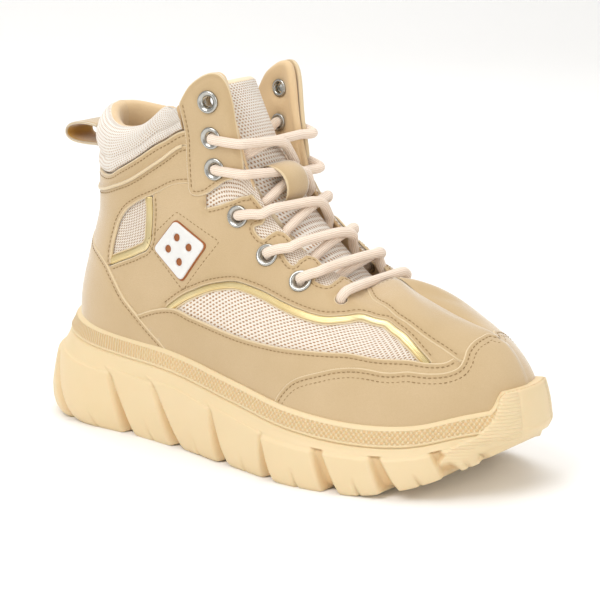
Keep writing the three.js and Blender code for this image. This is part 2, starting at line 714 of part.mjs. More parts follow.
// Upper: one hollow wall, open at the collar, the throat and underneath
function upper() {
  const beyond = 1.1;
  const half = [
    [beyond, -0.1], [beyond, COLLAR_SEAM[0][1]], ...moved(COLLAR_SEAM, SEAM_GAP / 2),
    ...FLAP_BACK.slice(2), [0.68, beyond], ...THROAT,
  ];
  const outline = [...half, ...reversed(mirrored(half))];
  const holes = [1, -1].flatMap((side) => [...eyeletHoles(side), plainHole(side)]);
  return sheet(outline, holes, wallIn, WALL_OUT);
}

// A point of the tongue: along its length, across it from -1 to 1, and above its upper face
function tonguePoint(along, across, above) {
  const at = (s) => new THREE.Vector3(
    HEEL_SET + curve(TONGUE.along, TONGUE.reach, s) * UPPER_LENGTH,
    0,
    curve(TONGUE.along, TONGUE.height, s) * TONGUE_HEIGHT,
  );
  const step = 0.02;
  const run = at(along + step).sub(at(along - step)).normalize();
  const shift = curve(TONGUE.along, TONGUE.shift, along) * COLLAR_WIDTH;
  const half = curve(TONGUE.along, TONGUE.half, along) * COLLAR_WIDTH;
  const crown = curve(TONGUE.along, TONGUE.crown, along) * TONGUE_THICKNESS * across * across;
  const point = at(along).addScaledVector(new THREE.Vector3(run.z, 0, -run.x), above - crown);
  point.y = shift + half * across;
  return point;
}

// Tongue: a padded strip with thin side edges, from under the vamp to above the throat
function tongue() {
  const steps = 12;
  const across = [-1, -0.92, -0.6, -0.2, 0.2, 0.6, 0.92, 1];
  const rings = Array.from({ length: steps + 1 }, (_, k) => {
    const along = k / steps;
    const top = across.map((t) => tonguePoint(along, t, -0.35 * TONGUE_THICKNESS * Math.abs(t) ** 8));
    const under = reversed(across.slice(1, -1)).map((t) => tonguePoint(along, t, -TONGUE_THICKNESS));
    return [...top, ...under];
  });
  return geometryOf(solidOf(lofted(rings, strips)));
}

// Collar: a padded roll round the back, from one flap to the other, on the upper's top edge
function collar() {
  const gap = SEAM_GAP / UP;
  const steps = 26;
  const sections = Array.from({ length: steps + 1 }, (_, k) => {
    const t = 2 * k / steps - 1; // -1 at the medial flap, 0 at the heel, 1 at the lateral flap
    const side = t < 0 ? -1 : 1;
    const seam = COLLAR_SEAM.map(([round]) => round).reverse();
    const seamUp = COLLAR_SEAM.map(([, up]) => up).reverse();
    const point = (share, lift) => {
      const back = mix(COLLAR_FRONT[0], COLLAR_FRONT[1], share);
      const round = mix(1, back, Math.abs(t));
      const low = curve(seam, seamUp, round) + gap;
      return place(side * round, mix(low, 1, share), lift);
    };
    const pad = WALL_OUT - mix(PADDED_WALL, COLLAR_PAD, 1 - smooth(Math.abs(t), 0.8, 1));
    return [
      point(0, WALL_OUT), point(0.3, COLLAR_SWELL), point(0.72, COLLAR_SWELL), point(0.93, 0),
      point(1, WALL_OUT - 2), point(1, mix(WALL_OUT, pad, 0.7)), point(0.9, pad),
      point(0.45, pad), point(0.1, mix(WALL_OUT, pad, 0.75)), point(0, WALL_OUT - 0.6 * PADDED_WALL),
    ];
  });
  return geometryOf(solidOf(lofted(sections, fan)));
}

// Leather overlays. Each follows its seam lines, half a seam gap inside them.
const HALF = SEAM_GAP / 2;
const leather = (outline, holes = [], heelCentred = false) => (
  sheet(outline, holes, PANEL_IN, PANEL_OUT, heelCentred)
);
const onSide = (side, outline) => (side > 0 ? outline : mirrored(outline));
// The other side of a line drawn for the lateral side, round the heel
const acrossHeel = (line) => line.map(([round, up]) => [2 - round, up]);

function heelCounter() {
  const edge = moved(COUNTER_SEAM, HALF);
  return leather([...edge, ...reversed(acrossHeel(edge))], [], true);
}

function mudguard(side) {
  const back = moved(COUNTER_SEAM.slice(7), -HALF);
  const top = moved(GUARD_SEAM, HALF);
  const front = moved(CAP_SEAM.slice(0, 11), -HALF);
  return leather(onSide(side, [...reversed(back), ...top.slice(1), ...reversed(front)]));
}

function toeCap() {
  const edge = moved(CAP_SEAM, HALF);
  return leather([...edge, ...reversed(mirrored(edge.slice(0, -1)))]);
}

function vampStrip() {
  const edge = [...moved(STRIP_SEAM, -HALF), ...moved(CAP_SEAM.slice(11), -2 * HALF)];
  return leather([...edge, ...reversed(mirrored(edge.slice(0, -1)))]);
}

// Quarter: from the rear window and the flap forward over the front window to the vamp strip
function quarter(side) {
  const outline = [
    ...moved(BAND_SEAM.slice(0, 3), -HALF).slice(0, 2),
    ...moved(REAR_WINDOW, -HALF),
    ...moved(COUNTER_SEAM.slice(4, 8), -HALF).slice(1, 3),
    ...moved(GUARD_SEAM.slice(0, 3), -HALF).slice(0, 2),
    ...moved(WINDOW_TOP, -HALF),
    ...moved(GUARD_SEAM.slice(12), -HALF).slice(1, 2),
    ...reversed(moved(STRIP_SEAM.slice(0, -1), HALF)),
    ...reversed(TABS),
  ];
  const holes = [...eyeletHoles(side).slice(3), plainHole(side)];
  return leather(onSide(side, outline), holes);
}

function eyestayFlap(side) {
  const outline = [...moved(FLAP_BACK, HALF), ...FLAP_EDGE.slice(1, -1)];
  return leather(onSide(side, outline), eyeletHoles(side).slice(0, 3));
}

// Ankle band: under the collar trim and down the back of the heel to the counter
function ankleBand() {
  const top = moved(TRIM_SEAM, HALF);
  const front = moved(BAND_SEAM, HALF);
  const foot = moved(COUNTER_SEAM.slice(0, 5), -HALF);
  const edge = [...top, ...front, ...reversed(foot)];
  return leather([...edge, ...reversed(acrossHeel(edge.slice(1, -1)))], [], true);
}

function collarTrim() {
  const top = moved(COLLAR_SEAM, HALF);
  const foot = moved(TRIM_SEAM, -HALF);
  const half = [...top, ...reversed(foot)];
  return leather([...half, ...reversed(acrossHeel(half.slice(1, -1)))], [], true);
}

// Gold foil: a strip along the front window's upper edge, and one round the rear window's corner
const band = (line, width) => [...moved(line, HALF), ...reversed(moved(line, HALF + width))];
const foil = (side, line, width) => (
  sheet(onSide(side, band(line, width)), [], WALL_OUT + CLEARANCE, PANEL_OUT + PIPING - PANEL, false)
);

function badge() {
  return sheet(BADGE, [], PANEL_OUT + CLEARANCE, PANEL_OUT + CLEARANCE + BADGE_THICKNESS);
}

// Pull loop: a folded tape behind the heel, its two ends against the collar
function pullLoop() {
  const root = place(1, 0.9, 0).x - COLLAR_SWELL - 2 * CLEARANCE;
  const middle = place(1, 0.86, 0).z;
  const outer = new THREE.Shape();
  const drop = LOOP_REACH * 0.3;
  outer.moveTo(root, middle + drop);
  outer.bezierCurveTo(root - 0.3 * LOOP_REACH, middle + 1.35 * drop, root - LOOP_REACH,
    middle + 1.35 * drop, root - LOOP_REACH, middle);
  outer.bezierCurveTo(root - LOOP_REACH, middle - 1.2 * drop, root - 0.35 * LOOP_REACH,
    middle - drop, root, middle - drop);
  const line = outer.getPoints(9);
  const ring = line.map((p, k) => {
    const before = line[Math.max(k - 1, 0)];
    const after = line[Math.min(k + 1, line.length - 1)];
    const run = after.clone().sub(before).normalize();
    return new THREE.Vector2(p.x - run.y * TAPE, p.y + run.x * TAPE);
  });
  const shape = new THREE.Shape([...line, ...reversed(ring)]);
  const geometry = new THREE.ExtrudeGeometry(shape, { depth: LOOP_BAND, bevelEnabled: false });
  geometry.rotateX(Math.PI / 2);
  geometry.translate(0, LOOP_BAND / 2 + place(1, 0.9, 0).y, 0);
  return geometryOf(solidOf(geometry));
}

// Keeper: a leather bridge on the tongue, with room for the lace under it
function laceKeeper() {
  const [start, end] = KEEPER_SPAN;
  const steps = 8;
  const rings = Array.from({ length: steps + 1 }, (_, k) => {
    const t = k / steps;
    const along = mix(start, end, t);
    const rise = KEEPER_SEAT + KEEPER_ARCH * Math.sin(Math.PI * t) ** 0.3;
    const half = KEEPER_WIDTH / 2 / (curve(TONGUE.along, TONGUE.half, along) * COLLAR_WIDTH);
    const at = (side, above) => tonguePoint(along, KEEPER_SHIFT + side * half, rise + above);
    return [at(-1, 0), at(1, 0), at(1, KEEPER_THICKNESS), at(-1, KEEPER_THICKNESS)];
  });
  return geometryOf(solidOf(lofted(rings, fan)));
}

// Eyelets: rolled rings on the flaps and tabs
const RING_LIFT = CLEARANCE * 2;
function eyelet() {
  const inner = EYELET_HOLE / 2;
  const outer = EYELET_OUTER / 2;
  const profile = [[inner, 0], [outer, 0], [mix(inner, outer, 0.7), 1], [inner, 0.8], [inner, 0]];
  const geometry = new THREE.LatheGeometry(profile.map(([r, z]) => new THREE.Vector2(r, z * EYELET_RIM)), 8);
  geometry.rotateX(Math.PI / 2);
  return geometryOf(solidOf(geometry));
}

function seat(mesh, side, k) {
  const round = side * EYELETS.round[k];
  const up = EYELETS.up[k];
  const normal = normalAt(round, up);
  mesh.position.copy(place(round, up, PANEL_OUT)).addScaledVector(normal, RING_LIFT);
  mesh.quaternion.setFromUnitVectors(new THREE.Vector3(0, 0, 1), normal);
}

// Lace: round strands, each from above its eyelet, over the throat's edge and across the tongue
function strand(points) {
  const path = new THREE.CatmullRomCurve3(points, false, 'centripetal');
  const sides = 6;
  const shape = new THREE.Shape(Array.from({ length: sides }, (_, k) => {
    const angle = 2 * Math.PI * k / sides;
    return new THREE.Vector2(LACE / 2 * Math.cos(angle), LACE / 2 * Math.sin(angle));
  }));
  const steps = 8;
  return solidOf(new THREE.ExtrudeGeometry(shape, { extrudePath: path, steps, bevelEnabled: false }));
}

// Points of one strand. from: eyelet index; side: where it starts; over: lift at the crossing
function strandPoints(side, from, over) {
  const liftOff = LACE / 2 + EYELET_RIM + RING_LIFT + 6 * CLEARANCE;
  const edge = (which, k, lift) => {
    const [round, up] = LACE_EDGE[k];
    return place(which * round, up, lift);
  };
  const start = place(side * EYELETS.round[from], EYELETS.up[from], liftOff);
  const rim = edge(side, from, LACE / 2 + 9 * CLEARANCE);
  const last = edge(-side, from + 1, 0);
  const crossing = rim.clone().add(last).multiplyScalar(0.5);
  const middle = tongueTop(crossing, LACE / 2 + LACE_FLOAT + over);
  const stop = tongueTop(middle.clone().lerp(last, 0.5), LACE / 2 + LACE_FLOAT);
  return [start, rim, middle, stop];
}

// The point over the tongue nearest to a given one, at a height above the tongue's upper face
function tongueTop(point, above) {
  let best = null;
  let least = Infinity;
  for (let k = 0; k <= 60; k += 1) {
    const along = k / 60;
    const half = curve(TONGUE.along, TONGUE.half, along) * COLLAR_WIDTH;
    const shift = curve(TONGUE.along, TONGUE.shift, along) * COLLAR_WIDTH;
    const across = Math.min(Math.max((point.y - shift) / half, -1), 1);
    const there = tonguePoint(along, across, above);
    there.y = point.y;
    const distance = there.distanceTo(point);
    if (distance < least) {
      least = distance;
      best = there;
    }
  }
  return best;
}

function laceCrossing(k) {
  const over = strand(strandPoints(1, k, LACE * 0.5));
  const under = strand(strandPoints(-1, k, 0));
  return geometryOf(over.add(under));
}

// The front bar lies straight across, from hole to hole
function laceBar() {
  const hole = (side) => place(side * PLAIN_HOLE.round, PLAIN_HOLE.up, LACE / 2 + CLEARANCE * 2);
  const rim = (side) => place(side * 0.322, 0.9, LACE / 2 + CLEARANCE * 4);
  const middle = rim(1).add(rim(-1)).multiplyScalar(0.5);
  middle.z += LACE / 2;
  return geometryOf(strand([hole(1), rim(1), middle, rim(-1), hole(-1)]));
}

add('sole', sole(), 'rubber');
add('insole', insole(), 'lining');
add('upper', upper(), 'mesh');
add('tongue', tongue(), 'mesh');
add('collar', collar(), 'mesh');
add('toe_cap', toeCap(), 'nubuck');
add('vamp_strip', vampStrip(), 'nubuck');
add('heel_counter', heelCounter(), 'nubuck');
add('ankle_band', ankleBand(), 'nubuck');
add('collar_trim', collarTrim(), 'nubuck');
for (const [side, name] of [[1, 'lateral'], [-1, 'medial']]) {
  add(`mudguard_${name}`, mudguard(side), 'nubuck');
  add(`quarter_${name}`, quarter(side), 'nubuck');
  add(`eyestay_flap_${name}`, eyestayFlap(side), 'nubuck');
  add(`piping_${name}`, foil(side, PIPING_LINE, FOIL_WIDTH), 'gold');
  add(`window_trim_${name}`, foil(side, REAR_WINDOW.slice(1, -1), FOIL_WIDTH), 'gold');
  EYELETS.round.forEach((_, k) => {
    seat(add(`eyelet_${name}_${k + 1}`, eyelet(), 'steel'), side, k);
  });
}
add('badge', badge(), 'badge');
add('pull_loop', pullLoop(), 'nubuck');
add('lace_keeper', laceKeeper(), 'nubuck');
for (let k = 1; k < EYELETS.round.length; k += 1) add(`lace_cross_${k}`, laceCrossing(k), 'lace');
add('lace_bar', laceBar(), 'lace');

// The origin is on the floor under the middle of the boot's own box
const middle = new THREE.Box3().setFromObject(group).getCenter(new THREE.Vector3());
group.position.set(-middle.x, -middle.y, 0);

export default group;
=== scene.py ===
import math

import bpy
import numpy as np
from mathutils import Matrix, Vector
from mathutils.geometry import delaunay_2d_cdt


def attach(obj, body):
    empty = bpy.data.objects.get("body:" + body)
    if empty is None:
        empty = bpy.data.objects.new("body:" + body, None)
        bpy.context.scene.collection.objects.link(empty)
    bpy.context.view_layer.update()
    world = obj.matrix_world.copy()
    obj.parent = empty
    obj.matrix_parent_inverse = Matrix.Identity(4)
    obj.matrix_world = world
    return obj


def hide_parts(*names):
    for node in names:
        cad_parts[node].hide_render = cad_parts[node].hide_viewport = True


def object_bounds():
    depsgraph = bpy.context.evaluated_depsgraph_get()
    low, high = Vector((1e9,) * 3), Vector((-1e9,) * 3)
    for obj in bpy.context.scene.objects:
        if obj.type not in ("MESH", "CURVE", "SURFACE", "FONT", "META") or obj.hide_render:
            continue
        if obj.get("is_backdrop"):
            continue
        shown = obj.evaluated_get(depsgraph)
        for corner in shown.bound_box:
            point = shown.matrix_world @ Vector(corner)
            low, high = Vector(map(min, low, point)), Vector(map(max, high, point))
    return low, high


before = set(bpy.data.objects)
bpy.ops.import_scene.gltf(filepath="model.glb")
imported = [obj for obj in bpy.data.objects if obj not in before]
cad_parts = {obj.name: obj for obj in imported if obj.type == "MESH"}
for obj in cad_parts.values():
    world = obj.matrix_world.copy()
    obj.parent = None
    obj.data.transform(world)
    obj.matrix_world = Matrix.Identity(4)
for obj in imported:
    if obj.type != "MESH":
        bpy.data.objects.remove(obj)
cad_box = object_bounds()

# Studio: a pale floor that runs up into a pale wall, soft lamps all round, and the camera where
# the photograph was taken, above the toe's level and in front of the outer side.
MIDDLE = np.array((144.543, -3.893, 0.0))  # the boot's middle in the last's own frame, mm
SIGHT = np.array((142.5, 0.0, 80.0))  # what the camera aims at, in the last's frame, mm
SIGHT_DISTANCE = 1125.08
AZIMUTH = math.radians(37.0)
ELEVATION = math.radians(13.23)


def to_row(points):
    """Millimetres in the last's frame to metres in the row frame"""
    return (np.asarray(points, float) - MIDDLE) / 1000


right = Vector((math.cos(AZIMUTH), math.sin(AZIMUTH), 0))
backward = Vector((
    math.sin(AZIMUTH) * math.cos(ELEVATION),
    -math.cos(AZIMUTH) * math.cos(ELEVATION),
    math.sin(ELEVATION),
))
upward = backward.cross(right)
camera_data = bpy.data.cameras.new("camera")
camera_data.sensor_width = 36
camera_data.lens = 133.92
camera_data.shift_x = 0.02355
camera_data.shift_y = -0.02148
camera_data.clip_end = 20
camera = bpy.data.objects.new("camera", camera_data)
turn = Matrix((right, upward, backward)).transposed()
camera.matrix_world = Matrix.Translation(
    Vector(to_row(SIGHT)) + backward * SIGHT_DISTANCE / 1000
) @ turn.to_4x4()
bpy.context.collection.objects.link(camera)
bpy.context.scene.camera = camera
bpy.context.scene.view_settings.view_transform = "Standard"


def node(tree, kind, inputs=None, **settings):
    """A shader node with its settings, and with its inputs set or linked"""
    made = tree.nodes.new(kind)
    for key, value in settings.items():
        setattr(made, key, value)
    for key, value in (inputs or {}).items():
        if isinstance(value, bpy.types.NodeSocket):
            tree.links.new(value, made.inputs[key])
        else:
            made.inputs[key].default_value = value
    return made


def new_material(name, **surface):
    """An empty material, its tree and its Principled shader with the given inputs"""
    made = bpy.data.materials.new(name)
    made.use_nodes = True
    shader = made.node_tree.nodes["Principled BSDF"]
    for key, value in surface.items():
        shader.inputs[key.replace("_", " ").title()].default_value = value
    return made, made.node_tree, shader


def colour(code):
    """A colour written as six hexadecimal digits, for a shader"""
    shares = [int(code[k:k + 2], 16) / 255 for k in (0, 2, 4)]
    return tuple(s / 12.92 if s <= 0.04045 else ((s + 0.055) / 1.055) ** 2.4 for s in shares) + (1.0,)


floor_material, tree, shader = new_material("studio_floor", base_color=(0.93, 0.925, 0.915, 1), roughness=0.9)
sweep = [(-2.2, 0.0)] + [
    (1.5 + 0.8 * math.sin(t), 0.8 - 0.8 * math.cos(t)) for t in np.linspace(0, math.pi / 2, 12)
] + [(2.3, 3.5)]
floor_mesh = bpy.data.meshes.new("studio")
ahead = -Vector((backward.x, backward.y, 0)).normalized()
floor_points = [tuple(ahead * d + right * side + Vector((0, 0, h))) for d, h in sweep for side in (-4, 4)]
floor_mesh.from_pydata(
    floor_points, [], [(2 * k, 2 * k + 1, 2 * k + 3, 2 * k + 2) for k in range(len(sweep) - 1)]
)
floor_mesh.materials.append(floor_material)
for face in floor_mesh.polygons:
    face.use_smooth = True
studio = bpy.data.objects.new("studio", floor_mesh)
bpy.context.collection.objects.link(studio)
studio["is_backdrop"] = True

world = bpy.data.worlds.new("studio_light")
world.use_nodes = True
world.node_tree.nodes["Background"].inputs["Color"].default_value = (1.0, 0.99, 0.975, 1)
world.node_tree.nodes["Background"].inputs["Strength"].default_value = 0.62
bpy.context.scene.world = world
# place from the boot as (to the right, towards the camera, up) in metres, size, power
for name, place_of, size, power in (
    ("lamp_key", (-0.9, 0.9, 1.5), 1.1, 17.0),
    ("lamp_front", (1.1, 1.2, 0.8), 1.2, 6.5),
    ("lamp_top", (0.1, -0.3, 1.8), 1.4, 11.0),
    ("lamp_back", (-0.6, -1.3, 1.1), 1.0, 5.0),
):
    data = bpy.data.lights.new(name, "AREA")
    data.size = size
    data.energy = power
    lamp = bpy.data.objects.new(name, data)
    lamp.location = right * place_of[0] - ahead * place_of[1] + Vector((0, 0, place_of[2]))
    lamp.rotation_euler = (Vector((0, 0, 0.08)) - lamp.location).to_track_quat("-Z", "Y").to_euler()
    bpy.context.collection.objects.link(lamp)

# Upper: a knitted shell, lined inside and padded round the ankle, drawn over a last and cut from
# a flat pattern. A place on it is given as round, from 0 at the toe to 1 at the heel on the outer
# side and -1 on the inner side, and up, from 0 at the sole to 1 at the top line.
HEEL_X, TOE_X = 17.0, 282.0
SOLE_LENGTH = 287.0
HEEL_ROUND, TOE_ROUND = 38.0, 56.0
ACROSS, UP = 300.0, 120.0  # the pattern's scale, mm for round and for up
CUP_DEPTH = 6.0  # the upper's foot below the sole's edge
RIDGE = 5 / 21  # how far round the two sides meet in front of the throat
PANEL = 1.2
CLEARANCE = 0.3
WALL_OUT = -PANEL - CLEARANCE
WALL, PADDED_WALL = 2.2, 4.8
# share along the last, its middle and its half width
PLAN = np.array((
    (0.0, 0.0, 34.0), (0.15, 0.0, 35.5), (0.33, -2.5, 37.0), (0.5, -4.5, 43.0),
    (0.66, -4.0, 49.0), (0.8, -0.5, 46.5), (0.92, 3.5, 41.0), (1.0, 6.0, 37.0),
))
# along the sole, and the height of its upper edge
EDGE_HEIGHT = np.array((
    (0.0, 60.0), (25.0, 55.0), (60.0, 50.5), (100.0, 48.0), (143.0, 42.5),
    (185.0, 36.5), (228.0, 34.0), (250.0, 36.0), (268.0, 41.0), (287.0, 44.0),
))
# round, x, half opening, height, and 0 for a full vamp curve to 1 for a straight side
TOP_LINE = np.array((
    (0.0, 251, 0, 75, 0.0), (0.08, 238, 0, 79.5, 0.0), (0.16, 222, 0, 86, 0.0),
    (0.24, 206, 0, 93, 0.0), (0.28, 199, 12, 90, 0.12), (0.33, 185, 15, 97, 0.22),
    (0.39, 168, 16, 109, 0.35), (0.45, 152, 18, 125, 0.5), (0.5, 141, 22, 141, 0.65),
    (0.55, 134, 25.5, 165, 0.85), (0.6, 127, 30, 188, 1.0), (0.66, 110, 33, 188, 1.0),
    (0.72, 97, 35, 175, 1.0), (0.79, 78, 35, 160, 1.0), (0.86, 58, 32, 156, 1.0),
    (0.92, 43, 23, 159, 1.0), (0.96, 34, 12, 162, 1.0), (1.0, 30, 0, 163, 1.0),
))
TOP_MIDDLE = np.array(((0.0, 5.0), (0.24, 3.0), (0.5, 1.0), (0.7, 0.0), (1.0, 0.0)))
# up, how far the heel swells, how far the sides swell
SWELL = np.array((
    (0.0, 0.0, 0.0), (0.15, 1.5, 1.5), (0.35, -0.5, 0.5), (0.55, -2.5, -2.0),
    (0.75, -1.0, -2.0), (0.9, 1.0, 0.5), (1.0, 0.0, 0.0),
))
FULLNESS = (2.15, 1.85)  # of the vamp's section on the outer and the inner side


def spline(xs, ys, x):
    """A smooth curve through the points of a table"""
    xs, ys = np.asarray(xs, float), np.asarray(ys, float)
    x = np.clip(np.asarray(x, float), xs[0], xs[-1])
    steps, rises = np.diff(xs), np.diff(ys) / np.diff(xs)
    slopes = np.empty_like(ys)
    slopes[0], slopes[-1] = rises[0], rises[-1]
    slopes[1:-1] = (rises[:-1] * steps[1:] + rises[1:] * steps[:-1]) / (steps[:-1] + steps[1:])
    k = np.clip(np.searchsorted(xs, x, side="right") - 1, 0, len(xs) - 2)
    t = (x - xs[k]) / steps[k]
    start = (2 * t ** 3 - 3 * t ** 2 + 1) * ys[k] + (t ** 3 - 2 * t ** 2 + t) * steps[k] * slopes[k]
    end = (-2 * t ** 3 + 3 * t ** 2) * ys[k + 1] + (t ** 3 - t ** 2) * steps[k] * slopes[k + 1]
    return start + end


def ease(x, low, high):
    """0 below low, 1 above high, and smooth between"""
    t = np.clip((np.asarray(x, float) - low) / (high - low), 0, 1)
    return t * t * (3 - 2 * t)


def mix(a, b, t):
    """From a to b as t goes from 0 to 1"""
    return a + (b - a) * t


def edge_height(x):
    """Height of the sole's upper edge"""
    return spline(EDGE_HEIGHT[:, 0], EDGE_HEIGHT[:, 1], x)


def on_last(around, up):
    """Points of the upper's outer face, mm in the last's frame"""
    around, up = np.broadcast_arrays(np.asarray(around, float), np.asarray(up, float))
    around = np.where(around > 1, around - 2, np.where(around < -1, around + 2, around))
    side, share = np.where(around >= 0, 1.0, -1.0), np.abs(around)
    foot_x = HEEL_X + (TOE_X - HEEL_X) * (1 + np.cos(np.pi * share)) / 2
    heel = np.clip((HEEL_X + HEEL_ROUND - foot_x) / HEEL_ROUND, 0, 1)
    toe = np.clip((foot_x - (TOE_X - TOE_ROUND)) / TOE_ROUND, 0, 1)
    rounding = (1 - heel ** 2.2) ** (1 / 2.2) * (1 - toe ** 2.25) ** (1 / 2.25)
    along = (foot_x - HEEL_X) / (TOE_X - HEEL_X)
    half = spline(PLAN[:, 0], PLAN[:, 2], along) * rounding
    foot_y = spline(PLAN[:, 0], PLAN[:, 1], along) - side * half
    foot_z = edge_height(foot_x) - CUP_DEPTH
    top_x, gap, top_z, straight = (spline(TOP_LINE[:, 0], TOP_LINE[:, k], share) for k in (1, 2, 3, 4))
    gap = np.where(share <= 0.24, 0, np.maximum(gap, 0))
    top_y = spline(TOP_MIDDLE[:, 0], TOP_MIDDLE[:, 1], share) - side * gap
    straight = np.clip(straight, 0, 1)
    angle = up * np.pi / 2
    power = 2 / np.where(side > 0, *FULLNESS)
    rise = (1 - straight) * np.sin(angle) ** power + straight * up
    inward = (1 - straight) * (1 - np.abs(np.cos(angle)) ** power) + straight * up
    x = foot_x + (top_x - foot_x) * inward
    y = foot_y + (top_y - foot_y) * inward
    z = foot_z + (top_z - foot_z) * rise
    bearing = np.pi * np.clip((share - 0.72) / 0.28, 0, 1) / 2
    at_heel, at_side = (spline(SWELL[:, 0], SWELL[:, k], up) for k in (1, 2))
    swell = at_heel * np.sin(bearing) ** 2 + at_side * np.cos(bearing) ** 2
    swell = swell * np.clip((share - 0.35) / 0.25, 0, 1)
    return np.stack([x - swell * np.sin(bearing), y - side * swell * np.cos(bearing), z], -1)


def slopes_on_last(around, up):
    """How a point moves with round and with up"""
    step = 0.004
    high, low = np.minimum(up + step, 1), np.maximum(up - step, 0)
    by_round = (on_last(around + step, up) - on_last(around - step, up)) / (2 * step)
    by_up = (on_last(around, high) - on_last(around, low)) / (high - low)[..., None]
    return by_round, by_up


def normals_on_last(around, up):
    """Outward normals of the upper's outer face"""
    around, up = (np.asarray(v, float) for v in np.broadcast_arrays(around, up))
    by_round, by_up = slopes_on_last(around, up)
    normals = np.cross(by_up, by_round)
    normals /= np.linalg.norm(normals, axis=-1, keepdims=True)
    ridge = (1 - ease(np.abs(around), RIDGE, RIDGE + 0.02)) * ease(up, 0.9, 1.0)
    normals[..., 1] *= 1 - ridge
    return normals / np.linalg.norm(normals, axis=-1, keepdims=True)


# Soft dents where the forefoot and the ankle flex: round, up, reach across, reach up, depth
DENTS = (
    (0.3, 0.86, 0.05, 0.07, 0.9), (0.2, 0.93, 0.03, 0.12, 0.7), (0.12, 0.86, 0.03, 0.05, 0.45),
    (-0.3, 0.82, 0.05, 0.08, 1.0), (-0.18, 0.9, 0.03, 0.1, 0.6), (0.72, 0.69, 0.09, 0.03, 0.5),
    (-0.7, 0.68, 0.09, 0.03, 0.6), (0.5, 0.52, 0.05, 0.06, 0.5), (-0.5, 0.5, 0.05, 0.06, 0.6),
    (0.92, 0.55, 0.05, 0.06, 0.5), (-0.9, 0.56, 0.06, 0.05, 0.5), (0.2, 0.62, 0.04, 0.05, -0.4),
)


def place(around, up, lift):
    """Points off the upper's face by a lift in mm, with the soft dents of the leather"""
    around, up = (np.asarray(v, float) for v in np.broadcast_arrays(around, up))
    wrapped = np.where(around > 1, around - 2, np.where(around < -1, around + 2, around))
    dent = np.zeros_like(around)
    for at, height, wide, tall, depth in DENTS:
        dent += depth * np.exp(-((wrapped - at) / wide) ** 2 - ((up - height) / tall) ** 2)
    lift = np.asarray(lift, float) - dent
    return on_last(around, up) + normals_on_last(around, up) * lift[..., None]


def wall_in(around, up):
    """How far inside the face the lining lies"""
    padding = ease(np.abs(around), 0.45, 0.6) * ease(up, 0.3, 0.5)
    return WALL_OUT - mix(WALL, PADDED_WALL, padding)


def smooth_line(points, step=1.3):
    """A pattern line drawn smoothly through its points, at even steps in mm"""
    points = np.asarray(points, float)
    runs = np.linalg.norm(np.diff(points * (ACROSS, UP), axis=0), axis=1)
    along = np.concatenate([[0], np.cumsum(runs)])
    at = np.linspace(0, along[-1], max(2, int(round(along[-1] / step)) + 1))
    line = np.stack([spline(along, points[:, k], at) for k in (0, 1)], 1)
    line[:, 1] = np.clip(line[:, 1], 0, 1)
    return line


def beside(line, distance):
    """A pattern line moved to its left by a true distance in mm on the last"""
    line = np.asarray(line, float)
    run = np.gradient(line, axis=0)
    by_round, by_up = slopes_on_last(line[:, 0], line[:, 1])
    tangent = by_round * run[:, :1] + by_up * run[:, 1:]
    side = np.cross(normals_on_last(line[:, 0], line[:, 1]), tangent)
    side /= np.linalg.norm(side, axis=1, keepdims=True) + 1e-12
    pairs = ((by_round, by_round), (by_round, by_up), (by_up, by_up))
    a, b, c = (np.einsum("ij,ij->i", p, q) for p, q in pairs)
    e, f = (np.einsum("ij,ij->i", side, q) for q in (by_round, by_up))
    moved = np.stack([c * e - b * f, a * f - b * e], 1) / (a * c - b * b)[:, None]
    left = -moved[:, 0] * run[:, 1] + moved[:, 1] * run[:, 0] < 0
    moved[left] *= -1
    result = line + moved * distance
    result[:, 1] = np.clip(result[:, 1], 0, 1)
    return result


def mirrored(line):
    """The same pattern line on the other side of the boot"""
    return np.asarray(line, float) * (-1, 1)


def across_heel(line):
    """The same pattern line on the other side, for a piece that runs round the heel"""
    return np.asarray(line, float) * (-1, 1) + (2, 0)


def is_inside(points, outline):
    """Which pattern points lie inside a closed outline"""
    inside = np.zeros(len(points), bool)
    for a, b in zip(outline, np.roll(outline, -1, axis=0)):
        crosses = (a[1] > points[:, 1]) != (b[1] > points[:, 1])
        if crosses.any():
            at = a[0] + (points[:, 1] - a[1]) * (b[0] - a[0]) / (b[1] - a[1] + 1e-30)
            inside ^= crosses & (points[:, 0] < at)
    return inside


def distance_to(points, starts, ends):
    """How far each point lies from the nearest of some segments"""
    best = np.full(len(points), 1e9)
    run = ends - starts
    length = np.maximum(np.einsum("ij,ij->i", run, run), 1e-12)
    for k in range(0, len(points), 2000):
        part = points[k:k + 2000, None, :] - starts[None]
        t = np.clip(np.einsum("ijk,jk->ij", part, run) / length, 0, 1)
        gaps = np.linalg.norm(part - t[..., None] * run[None], axis=2)
        best[k:k + 2000] = gaps.min(axis=1)
    return best


def add_piece(name, points, faces, materials, face_materials=None):
    """A smooth mesh piece from points in mm in the last's frame, riding on the boot"""
    mesh = bpy.data.meshes.new(name)
    mesh.from_pydata(to_row(points).tolist(), [], [tuple(int(k) for k in f) for f in faces])
    for each in materials:
        mesh.materials.append(each)
    if face_materials is not None:
        mesh.polygons.foreach_set("material_index", np.asarray(face_materials, np.int32))
    mesh.polygons.foreach_set("use_smooth", np.ones(len(mesh.polygons), bool))
    mesh.update()
    made = bpy.data.objects.new(name, mesh)
    bpy.context.collection.objects.link(made)
    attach(made, "root")
    return made


def add_values(piece, name, values):
    """A number for every point of a piece, for its material"""
    piece.data.attributes.new(name, "FLOAT", "POINT").data.foreach_set(
        "value", np.asarray(values, np.float32)
    )


def add_map(piece, places):
    """A flat map of a piece, in mm, for the scale of its weave or grain"""
    corners = np.empty(len(piece.data.loops), np.int32)
    piece.data.loops.foreach_get("vertex_index", corners)
    flat = np.asarray(places, np.float32)[corners]
    piece.data.uv_layers.new(name="pattern").data.foreach_set("uv", flat.ravel())


